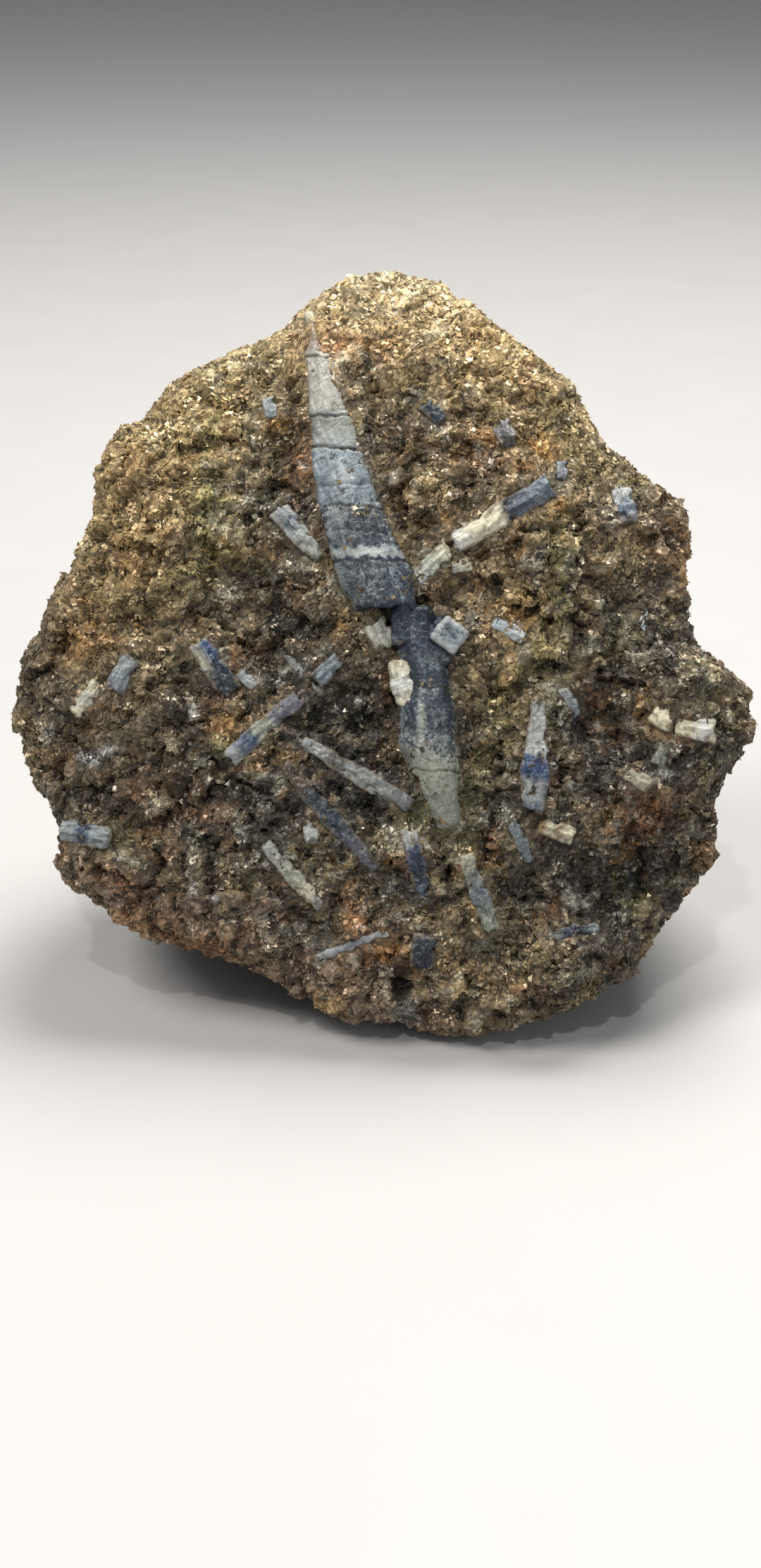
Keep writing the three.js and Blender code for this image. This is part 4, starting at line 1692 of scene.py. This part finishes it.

# Colours of the broken face, from broad to small, with painted shade in its hollows and low down and a
# painted glint among them
FACE_PATCHES = patch_set(
    (T.DARK_BROWN, -8, 2, 17, 24, 0.55), (T.GREY_BROWN, -20, -14, 14, 12, 0.4),
    # The two dark brown patches on this line are partly painted shade, darker towards the bottom of the face.
    (T.DARK_BROWN, -2, -14, 20, 10, 0.4), (T.DARK_BROWN, 2, -20, 38, 15, 0.5),
    (T.DARK_BROWN, -34, -2, 8, 12, 0.3), (T.BRONZE, 14, 10, 14, 14, 0.6), (T.BRONZE, 12, -2, 8, 8, 0.4),
    (T.GOLD, 4, 38, 26, 9, 0.95), (T.PALE_GOLD, 4, 40, 16, 6, 0.35), (T.AMBER, 10, 34, 18, 7, 0.34, -12),
    (T.GOLD, 20, 27, 12, 9, 0.55, -45), (T.GOLD, -22, 24, 14, 9, 0.85, 40),
    (T.BRONZE, -27, 10, 10, 16, 0.85), (T.AMBER, -26, 15, 6, 7, 0.3), (T.GOLD, -29, 14, 7, 9, 0.4),
    # The charcoal patch at the lower right on this line is painted shade under its downward face; the
    # charcoal ones on the next two lines are partly painted shade in the hollows on the right and in the
    # middle.
    (T.GREY_BROWN, 28, 4, 9, 12, 0.5), (T.CHARCOAL, 27, -24, 13, 9, 0.95, 35),
    (T.CHARCOAL, 25, -10, 7, 6, 0.5), (T.CHARCOAL, 30, 2, 4, 8, 0.4, -20),
    (T.CHARCOAL, -3, -12, 11, 8, 0.8), (T.CHARCOAL, -12, 18, 6, 7, 0.35),
    (T.ROSE_BROWN, -22, -29, 16, 4, 0.7, -18), (T.ROSE_BROWN, -2, -38, 14, 5, 0.6, -12),
    (T.BRONZE, 12, -36, 8, 7, 0.6), (T.CHARCOAL, 22, -35, 6, 5, 0.5),
    (T.OLIVE, -18.4, 18, 1.9, 10, 0.75, -4), (T.OLIVE, 17, -3, 3, 7, 0.4), (T.OLIVE, 19, 7, 1.6, 7, 0.5, 4),
    (T.OLIVE, 12.2, -8, 1.8, 9, 0.45, -17), (T.OLIVE, 9, -22, 1.8, 6, 0.4, 12),
    (T.RUST, -4.5, 33, 4.5, 2.2, 0.8), (T.AMBER, 17.4, 21.6, 2.3, 0.9, 0.8, -25),
    (T.AMBER, 11.3, 22.8, 0.9, 1.2, 0.7), (T.RUST, 15.5, 19.6, 1.8, 0.9, 0.6, -20),
    (T.AMBER, 19.2, 15.6, 1.0, 1.4, 0.6), (T.RUST, 10, 21, 4, 2.4, 0.5, -20),
    (T.RUST, -8.6, 20, 1.6, 3.4, 0.75, -10), (T.RUST, -25, -15, 3.5, 2, 0.3),
    (T.RUST, -21, -31.5, 7, 1.9, 0.75, -20), (T.AMBER, 14.8, 3.2, 1.5, 1.0, 0.7),
    (T.RUST, 1.5, -33.5, 3.2, 2.6, 0.65), (T.AMBER, -16.2, -8.2, 1.1, 1.1, 0.6),
    (T.OLIVE, -17.2, -10.4, 0.9, 1.0, 0.8), (T.RUST, 28, -17.5, 4.5, 2.2, 0.65, 10),
    # The charcoal patch at 23 across, 9 down is painted shade in a dark hollow.
    (T.CHARCOAL, 23, -9, 4, 6, 0.7), (T.RUST, 31, 12, 2.5, 3.5, 0.4), (T.AMBER, 33.5, 9.5, 1.4, 2.5, 0.8),
    (T.AMBER, -10.8, 24.6, 2.2, 1.0, 0.75), (T.RUST, -2.6, -28.8, 1.5, 2.0, 0.75),
    # The charcoal patch at 2.5 across, 36 down is painted shade in the hollow below the foot block.
    (T.AMBER, 0.4, -32.8, 1.8, 1.1, 0.5), (T.CHARCOAL, 2.5, -36.0, 1.7, 2.2, 1.0),
    # The white patch under the pale blue one is painted light that lifts a pale chip out of shade.
    (T.WHITE, 2.9, -39.3, 0.9, 1.5, 1.0, -12), (T.ICE, 2.9, -39.3, 0.9, 1.5, 0.5, -12),
    (T.GOLD, 5.7, 17.7, 2.2, 1.2, 0.7), (T.PALE_GOLD, 5.4, 34.1, 2.4, 0.7, 0.6, 25),
    (T.PALE_MICA, -1.3, 31.0, 1.8, 0.35, 0.9, -50), (T.PALE_GOLD, -4.2, 31.3, 0.9, 0.7, 0.8),
    (T.STEEL, 17.2, 10.5, 0.7, 1.4, 0.8), (T.STEEL, 5.8, 24.0, 1.6, 0.9, 0.5, -30),
    # The charcoal patch at 25.5 across is painted shade in the valley on the right.
    (T.AMBER, -4.2, 2.6, 0.9, 1.8, 0.5), (T.CHARCOAL, 25.5, 0.5, 1.5, 6.5, 0.65),
    (T.PALE_MICA, 22.8, 0.6, 0.6, 1.1, 0.8), (T.PALE_MICA, 26.8, 1.6, 0.6, 1.1, 0.7),
    # The white patch at 30.5 across, 13.4 down is a painted glint.
    (T.WHITE, 30.5, -13.4, 0.9, 0.5, 0.9), (T.PALE_GOLD, 19.6, -16.2, 1.2, 0.4, 0.7),
    (T.PALE_GOLD, 2.4, -19.6, 1.1, 1.1, 0.55), (T.PALE_GOLD, 1.0, -21.4, 1.2, 0.3, 0.6, -30),
    (T.PALE_GOLD, -8.3, -31.1, 1.1, 0.6, 0.8), (T.PALE_GOLD, -16.8, -17.5, 1.6, 0.5, 0.7),
    (T.PALE_MICA, 10.3, -31.8, 1.0, 1.3, 0.6), (T.PALE_GOLD, -24.3, -16.3, 0.8, 0.8, 0.8),
    (T.WHITE, -13.1, -3.3, 0.5, 0.5, 0.9), (T.WHITE, -10.6, -3.2, 0.5, 0.6, 0.9),
    (T.WHITE, -20.2, -6.8, 0.8, 0.6, 0.8, -30), (T.PALE_MICA, -1.6, -1.6, 1.5, 0.5, 0.5, -40),
    (T.PALE_MICA, -15.8, 12.6, 2.6, 1.2, 0.5, -30), (T.CHARCOAL, -14.5, -20.0, 2.4, 1.6, 0.6),
    (T.WHITE, -36.4, -9.2, 0.7, 0.7, 0.95), (T.RUST, -34.5, -11.5, 1.6, 1.3, 0.5),
    (T.AMBER, -32.2, 0.6, 2.0, 2.0, 0.5), (T.CHARCOAL, -31.0, -16.6, 3.4, 1.6, 0.5),
    (T.PALE_GOLD, -27.1, -22.4, 1.5, 0.5, 0.5, -25), (T.PALE_GOLD, -20.1, -22.1, 0.6, 1.3, 0.5),
    (T.RUST, -28.4, -25.0, 3.0, 1.2, 0.6, -25), (T.WHITE, -31.6, -11.8, 1.1, 0.6, 0.85, -20),
    (T.WHITE, -29.5, -10.9, 0.9, 0.5, 0.8, 20), (T.WHITE, -20.3, -26.0, 0.4, 0.5, 0.8),
    (T.WHITE, -17.7, -26.9, 0.4, 0.4, 0.8), (T.RUST, -33.0, 2.0, 2.0, 3.0, 0.35),
    # The charcoal patch at 6 to the left, 12 down is partly painted shade in the hollow in the middle.
    (T.GOLD, 26.5, 9.5, 1.6, 2.6, 0.5, -30), (T.CHARCOAL, -6.0, -12.0, 3.5, 1.6, 0.7, -30),
)

# The long sapphire's upper stretch: place up the face and across it in mm, its widening, and how far
# it is moved to the right and outward in mm
LONG_COURSE = (
    (4.7, 0.1, 1.13, 0.7, 0.0), (9.3, -1.4, 1.16, 0.35, 0.0), (15.1, -3.3, 1.2, 0.0, 0.0),
    (21.0, -4.7, 1.22, 0.0, 0.2), (25.0, -5.5, 1.02, -0.1, 0.5), (32.0, -6.6, 0.86, -0.3, 0.7),
    (34.0, -7.0, 0.8, 0.0, 0.2), (37.0, -7.6, 0.8, 0.0, 0.0),
)
SHOULDER = Block(((1.45, 4.7), (4.9, 4.7), (4.8, 0.5), (1.5, 0.5)), 10.6, (0.0, 0.0, -3.0))
LONG_BANDS = bands(
    (37.0, T.CREAM, 0.0), (36.4, T.PALE_MICA, 0.0), (35.6, T.BRONZE, 0.0), (33.4, T.ROSE_BROWN, 0.0),
    (31.9, T.CHALK, 0.0), (26.0, T.CHALK, 0.02), (25.2, T.PALE, 0.05), (24.7, T.SAGE, 0.05),
    (21.8, T.PALE, 0.15), (21.0, T.ICE, 0.44), (17.0, T.ICE, 0.48), (15.2, T.ICE, 0.48),
    (14.6, T.PALE, 0.66), (10.7, T.ICE, 0.7), (10.2, T.PALE, 0.05), (9.8, T.PALE, 0.05), (9.4, T.ICE, 0.76),
    (6.0, T.ICE, 0.78), (4.8, T.ICE, 0.7), (3.8, T.STEEL, 0.74), (-0.5, T.STEEL, 0.72), (-1.2, T.ICE, 0.7),
    (-4.2, T.ICE, 0.76), (-8.0, T.ICE, 0.72), (-10.5, T.PALE, 0.6), (-13.0, T.PALE_GREEN, 0.44),
    (-16.0, T.SAGE, 0.2), (-19.0, T.SAGE, 0.05),
)
# Spots over the long sapphire's bands; the steel ones beside its upper stretch near 17.5 mm up, with the
# white one between them, are partly painted facet shade and painted light.
LONG_SPOTS = patch_set(
    (T.ROSE_BROWN, -8.2, 28, 0.7, 3.2, 0.5, -12), (T.STEEL, -6.0, 17.6, 0.8, 2.4, 0.8, 10),
    (T.STEEL, -2.0, 17.4, 0.9, 1.2, 0.7, 10), (T.STEEL, -7.0, 23.0, 0.5, 1.2, 0.4),
    (T.STEEL, 1.2, 8.0, 0.8, 3.4, 0.5, 14), (T.NAVY, -4.5, 11.9, 0.9, 1.8, 0.85, 10),
    (T.WHITE, -3.8, 18.6, 0.8, 1.2, 0.4), (T.STEEL, -4.6, 13.6, 1.2, 1.4, 0.5),
    (T.NAVY, -3.0, 6.4, 1.5, 2.3, 0.9, 20), (T.PALE, -0.6, 6.8, 1.1, 1.6, 0.5),
    (T.PALE, -3.4, 4.7, 1.0, 0.5, 0.6), (T.PALE, -4.6, 7.6, 0.5, 1.6, 0.6, 20),
    (T.NAVY, 3.0, 1.8, 1.4, 1.4, 0.75), (T.NAVY, 4.6, -0.8, 1.2, 0.8, 0.7),
    (T.NAVY, 5.6, -1.6, 1.4, 1.0, 0.6, 40), (T.PALE, 2.2, -2.0, 0.5, 1.2, 0.5),
    (T.STEEL, 2.0, -7.2, 0.9, 2.0, 0.7), (T.PALE_GREEN, 4.3, -8.0, 0.5, 3.0, 0.85),
    (T.NAVY, 6.1, -7.3, 1.0, 0.7, 0.9), (T.NAVY, 6.2, -10.0, 1.0, 0.5, 0.8, 20),
    (T.NAVY, 2.7, -11.4, 0.7, 1.4, 0.85, 30), (T.PALE_GREEN, 5.4, -12.6, 1.2, 1.6, 0.6),
    (T.PALE, 5.0, -4.6, 0.9, 0.5, 0.5),
)
LONG_CRACKS = (
    (31.7, 0.0, 0.28), (25.0, -0.05, 0.32), (21.4, 0.1, 0.3), (17.4, -0.06, 0.08), (15.0, 0.05, 0.24),
    (12.2, 0.1, 0.1), (9.1, 0.0, 0.16), (-4.2, 0.1, 0.16), (-8.7, -0.08, 0.1), (-13.2, 0.05, 0.18),
)
SMALL_SPOTS = {
    "left_prism": patch_set((T.CREAM, -19.2, -1.2, 1.9, 0.7, 0.95, -54)),
    "right_prism": patch_set((T.NAVY, 17.7, -15.6, 0.5, 1.6, 0.75), (T.NAVY, 16.9, -11.6, 0.4, 0.8, 0.6)),
    "cream_chip": patch_set((T.AMBER, 17.3, -19.0, 0.4, 0.35, 0.7)),
    "lilac_end": patch_set((T.NAVY, 13.4, 23.0, 0.8, 0.7, 0.7)),
    "right_blue_end": patch_set((T.NAVY, 26.2, 14.2, 0.9, 0.7, 0.8)),
}
SWELLS = {
    "white_grain": 0.4, "pale_block": 0.25, "blue_spike": 0.15, "left_pale_chip": 0.2,
    "cream_prism_root": 0.4, "cream_prism": 0.2,
}
NUDGES = {"white_grain": (0.5, 0.2, 1.9), "cream_prism_root": (0.35, 0.0, 0.1)}
BLUE, NAVY, PALE, CREAM = "sapphire_blue", "sapphire_navy", "sapphire_pale", "sapphire_cream"

# Each small crystal's finish, its colours and how light it is, partly painted shade for those low on the face
SMALL_CRYSTALS = {
    "right_branch_stub": (PALE, plain(T.CREAM, T.PALE_GREEN, T.PALE), 0.94),
    "right_branch": (PALE, bands((0, T.STEEL, 0.3), (0.16, T.BLUE_GREY, 0.45), (0.34, T.STEEL, 0.5),
        (0.46, T.NAVY, 0.3), (0.53, T.CREAM, 0.05), (0.8, T.CREAM, 0.0), (1, T.WHITE, 0.0)), 0.8),
    "pale_block": (PALE, plain(T.PALE_GREEN, T.CHALK, T.PALE_GREEN), 0.73),
    "white_grain": (CREAM, plain(T.CREAM, T.WHITE, T.CREAM, fleck=0.0), 0.85),
    "left_prism": (NAVY, bands((0, T.PALE, 0.0), (0.08, T.BLUE, 0.2), (0.3, T.BLUE, 0.5),
        (0.5, T.STEEL, 0.7), (1, T.NAVY, 0.5)), 0.66),
    "left_prism_tip": (PALE, plain(T.ICE, T.PALE, fleck=0.2), 0.66),
    "left_pale_block": (PALE, plain(T.PALE, T.ICE, T.LILAC), 0.56),
    "left_pale_chip": (PALE, plain(T.CREAM, T.CHALK, T.CREAM, fleck=0.0), 0.8),
    "long_needle": (PALE, bands((0, T.PALE, 0.1), (0.14, T.WHITE, 0.1), (0.3, T.GREY_BROWN, 0.1),
        (0.42, T.PALE, 0.2), (0.8, T.PALE, 0.3), (1, T.LILAC, 0.2)), 0.4),
    "dark_needle": (BLUE, bands((0, T.ROSE_BROWN, 0.0), (0.2, T.ROSE_BROWN, 0.1), (0.32, T.STEEL, 0.4),
        (0.6, T.STEEL, 0.5), (0.76, T.LILAC, 0.3), (1, T.LILAC, 0.1)), 0.37),
    "crossing_prism": (BLUE, bands((0, T.LILAC, 0.2), (0.34, T.LILAC, 0.4), (0.42, T.PALE_GREEN, 0.05),
        (0.58, T.PALE_GREEN, 0.05), (0.66, T.BLUE, 0.3), (0.82, T.BLUE_GREY, 0.2), (0.9, T.PALE, 0.0),
        (1, T.PALE, 0.0)), 0.56),
    "lower_left_prism": (PALE, plain(T.PALE, T.CHALK, T.PALE_GREEN, T.CREAM, T.LILAC), 0.58),
    "blue_spike": (NAVY, bands((0, T.WHITE, 0.05), (0.2, T.PALE, 0.3), (0.3, T.BLUE, 0.6),
        (0.7, T.NAVY, 0.7), (1, T.BLUE_GREY, 0.4)), 0.65),
    "lower_right_prism": (PALE, plain(T.CREAM, T.SAGE, T.BLUE_GREY, T.SAGE, T.PALE_GREEN, fleck=0.25),
        0.52),
    "right_prism": (BLUE, bands((0, T.PALE, 0.0), (0.35, T.WHITE, 0.05), (0.46, T.WHITE, 0.05),
        (0.52, T.BLUE, 0.35), (0.68, T.BLUE, 0.4), (0.76, T.PALE, 0.3), (0.9, T.PALE, 0.3),
        (1, T.BLUE, 0.5)), 0.52),
    "cream_chip": (CREAM, plain(T.BRONZE, T.CREAM, T.BRONZE, T.CREAM, T.CREAM, fleck=0.0), 0.68),
    "cream_prism": (CREAM, plain(T.CREAM, T.CREAM, T.WHITE, T.CREAM, fleck=0.0), 0.76),
    "cream_prism_root": (CREAM, plain(T.CREAM, T.CREAM, fleck=0.0), 0.72),
    "pale_wedge": (PALE, plain(T.PALE_GREEN, T.SAGE), 0.42),
    "cream_grain": (CREAM, plain(T.CREAM, T.CREAM, fleck=0.0), 0.36),
    "grey_lens": (PALE, plain(T.ICE, T.BLUE_GREY, fleck=0.3), 0.46),
    "left_rim_prism": (BLUE, bands((0, T.PALE, 0.1), (0.3, T.ICE, 0.2), (0.4, T.BLUE, 0.6),
        (0.55, T.STEEL, 0.5), (0.65, T.ICE, 0.1), (1, T.PALE, 0.05)), 0.55),
    "foot_block": (NAVY, plain(T.STEEL, T.NAVY, T.NAVY, fleck=0.5), 0.5),
    "foot_needle": (PALE, plain(T.PALE, T.LILAC, T.PALE), 0.68),
    "knob_spar": (NAVY, plain(T.WHITE, T.STEEL, T.NAVY, T.ICE, fleck=0.2), 0.5),
    "upper_left_prism": (PALE, bands((0, T.WHITE, 0.1), (0.3, T.BLUE_GREY, 0.5), (0.5, T.PALE, 0.1),
        (1, T.PALE_GREEN, 0.05)), 0.62),
    "lilac_end": (PALE, plain(T.WHITE, T.LILAC, fleck=0.15), 0.32),
    "small_end": (PALE, plain(T.ICE, T.LILAC, fleck=0.2), 0.66),
    "right_blue_end": (PALE, bands((0, T.WHITE, 0.1), (0.5, T.ICE, 0.4), (0.7, T.BLUE, 0.6),
        (1, T.PALE, 0.2)), 0.64),
    "crown_end": (PALE, plain(T.PALE, T.ICE, fleck=0.3), 0.6),
    "dark_end": (NAVY, plain(T.STEEL, T.NAVY, T.STEEL, fleck=0.3), 0.7),
    "amber_side_chip": (PALE, plain(T.ICE, T.PALE), 1),
    "tiny_block": (PALE, plain(T.PALE, T.CREAM), 0.66),
    "grey_block": (PALE, plain(T.ICE, T.BLUE_GREY, fleck=0.2), 0.58),
    "thin_blade": (PALE, plain(T.GREY_BROWN, T.PALE, T.GREY_BROWN), 0.62),
    "low_left_chip": (PALE, plain(T.CHALK, T.PALE_GREEN, T.CREAM), 0.72),
    "pebble_end": (PALE, plain(T.WHITE, T.PALE, fleck=0.2), 0.45),
    "right_grey_tip": (PALE, plain(T.PALE, T.BLUE_GREY), 0.7),
    "upper_right_sliver": (PALE, plain(T.PALE, T.ICE), 1.3),
    "back_long_prism": (BLUE, plain(T.PALE, T.BLUE_GREY, T.STEEL, T.ICE, fleck=0.4), 0.6),
    "back_blue_prism": (BLUE, plain(T.ICE, T.BLUE, T.STEEL, fleck=0.5), 0.6),
    "back_pale_needle": (PALE, plain(T.PALE, T.LILAC, T.PALE_GREEN), 0.6),
    "back_stub": (PALE, plain(T.PALE, T.BLUE_GREY, fleck=0.3), 0.6),
    "left_flank_prism": (PALE, plain(T.PALE, T.ICE, T.PALE_GREEN), 0.6),
    "right_flank_prism": (PALE, plain(T.WHITE, T.BLUE_GREY, fleck=0.2), 0.6),
    "crown_prism": (PALE, plain(T.PALE, T.LILAC), 0.6),
}
SAPPHIRE_FINISHES = (
    SapphireFinish(BLUE, 0.4, 0.36), SapphireFinish(NAVY, 0.36, 0.42),
    SapphireFinish(PALE, 0.4, 0.45), SapphireFinish(CREAM, 0.46, 0.4),
)


def all_sapphires() -> list[Sapphire]:
    """List every crystal with its finish and colours.

    Returns:
        The long sapphire and then the small ones.
    """
    small = [
        Sapphire(f"sapphire_{name}", slot, colours, shade=shade, swell=SWELLS.get(name, 0.08),
                 spots=SMALL_SPOTS.get(name, ()), nudge=NUDGES.get(name, NO_MOVE))
        for name, (slot, colours, shade) in SMALL_CRYSTALS.items()
    ]
    long = LongSapphire(LONG_SAPPHIRE, BLUE, LONG_BANDS, LONG_CRACKS, 0.7, 0.35, 0.17, LONG_SPOTS, 0.25)
    return [long, *small]


def crystal_surfaces(crystals: list[Piece]) -> BVHTree:
    """Gather the finished crystals' surfaces for finding what is near them.

    Args:
        crystals: The crystals.

    Returns:
        All their faces.
    """
    points, faces = [], []
    for crystal in crystals:
        start = len(points)
        points.extend(vertex.co.copy() for vertex in crystal.data.vertices)
        faces.extend([start + v for v in polygon.vertices] for polygon in crystal.data.polygons)
    return BVHTree.FromPolygons(points, faces)


@dataclass(frozen=True)
class Lamp:
    """One soft round lamp.

    Attributes:
        name: Its name.
        place: Where it stands, in metres.
        size: Its width in metres.
        watts: Its power.
        colour: Its colour as linear red, green and blue.
    """

    name: str
    place: tuple[float, float, float]
    size: float
    watts: float
    colour: tuple[float, float, float]

    def build(self, target: tuple[float, float, float]) -> None:
        """Place the lamp.

        Args:
            target: Where it points, in metres.
        """
        data = bpy.data.lights.new(self.name, "AREA")
        data.shape = "DISK"
        data.size = self.size
        data.energy = self.watts
        data.color = self.colour
        lamp = linked_object(self.name, data)
        lamp.location = self.place
        lamp.rotation_euler = (Vector(self.place) - Vector(target)).to_track_quat("Z", "Y").to_euler()


# A large soft key from the upper left, a fill, and a small lamp for the mica's glitter
LAMPS = (
    Lamp("top", (0.12, 0.2, 0.6), 0.42, 6.3, (1.0, 0.97, 0.92)),
    Lamp("key", (-0.4, -0.2, 0.62), 0.32, 4.5, (1.0, 0.97, 0.93)),
    Lamp("fill", (0.55, -0.6, 0.3), 0.5, 1.5, (0.92, 0.96, 1.0)),
    Lamp("glitter", (-0.08, -0.5, 0.75), 0.03, 1.7, (1.0, 0.97, 0.93)),
)


@dataclass(frozen=True)
class Studio:
    """The plain floor, the soft lights and the camera.

    Attributes:
        aim_up: Place on the face that the camera looks straight at, up from its middle, in mm.
        distance: How far the camera stands in front of the face's rim, in mm.
        picture_height: Height of what the camera sees at that rim, in mm.
        sensor: Width of the camera's sensor in mm.
        nearest: Distance from which the camera sees anything, in metres.
        floor_half: Half the width of the floor in metres.
        floor_drop: How far the floor lies under the stone, in mm.
        target: Where the lamps point, in metres.
        sky: Colour of the light from all round, as linear red, green, blue and alpha.
        sky_strength: How strong that light is.
    """

    aim_up: float = -14.53
    distance: float = 240.0
    picture_height: float = 173.75
    sensor: float = 36.0
    nearest: float = 0.01
    floor_half: float = 4.0
    floor_drop: float = 0.02
    target: tuple[float, float, float] = (0.0, 0.0, 0.035)
    sky: tuple[float, float, float, float] = (0.9, 0.93, 1.0, 1.0)
    sky_strength: float = 0.28

    def build(self) -> None:
        """Make the camera, the floor and the lights."""
        self._camera()
        self._floor()
        self._lights()

    def _camera(self) -> None:
        """Make the camera, square on to the broken face."""
        data = bpy.data.cameras.new("camera")
        data.sensor_width = self.sensor
        data.lens = self.sensor * self.distance / self.picture_height
        data.clip_start = self.nearest
        camera = linked_object("camera", data)
        place = FACE.place(0, self.aim_up, self.distance)
        camera.matrix_world = Matrix.Translation(place) @ FACE.axes().to_4x4()
        bpy.context.scene.camera = camera

    def _floor(self) -> None:
        """Make the wide pale floor."""
        mesh = bpy.data.meshes.new("floor")
        half = self.floor_half
        corners = [(-half, -half, 0), (half, -half, 0), (half, half, 0), (-half, half, 0)]
        mesh.from_pydata(corners, [], [(0, 1, 2, 3)])
        mesh.materials.append(StudioFinish().build())
        floor = linked_object("floor", mesh)
        floor.location.z = -self.floor_drop * MM

    def _lights(self) -> None:
        """Make the lamps and the light from all round."""
        for lamp in LAMPS:
            lamp.build(self.target)
        world = bpy.data.worlds.new("studio")
        world.use_nodes = True
        light = {"Color": self.sky, "Strength": self.sky_strength}
        Graph(world.node_tree).feed(world.node_tree.nodes["Background"], light)
        bpy.context.scene.world = world
        bpy.context.scene.view_settings.view_transform = "Standard"


def main() -> None:
    """Build the studio, the crystals, the stone and its flakes, and report each."""
    logging.basicConfig(level=logging.INFO, format="%(message)s")
    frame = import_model()
    solids = frame["nodes"]
    Studio().build()
    effects = SurfaceEffects()
    finishes = {finish.slot: finish.build(effects) for finish in SAPPHIRE_FINISHES}
    wear = wear_tree()
    crystals = [sapphire.build(solids[sapphire.node].data, finishes, wear) for sapphire in all_sapphires()]
    surfaces, small_surfaces = crystal_surfaces(crystals), crystal_surfaces(crystals[1:])
    stone = Stone().build(solids[STONE].data, surfaces, small_surfaces, SchistFinish().build(effects))
    dusted = [crystal for crystal in crystals if crystal.name != CLEAN_CRYSTAL]
    flakes = MicaFlakes().build(stone, dusted, FlakeFinish().build(effects))
    for piece in (*crystals, stone, *flakes):
        log.info("%s: %d faces", piece.name, len(piece.data.polygons))


if __name__ == "__main__":
    main()
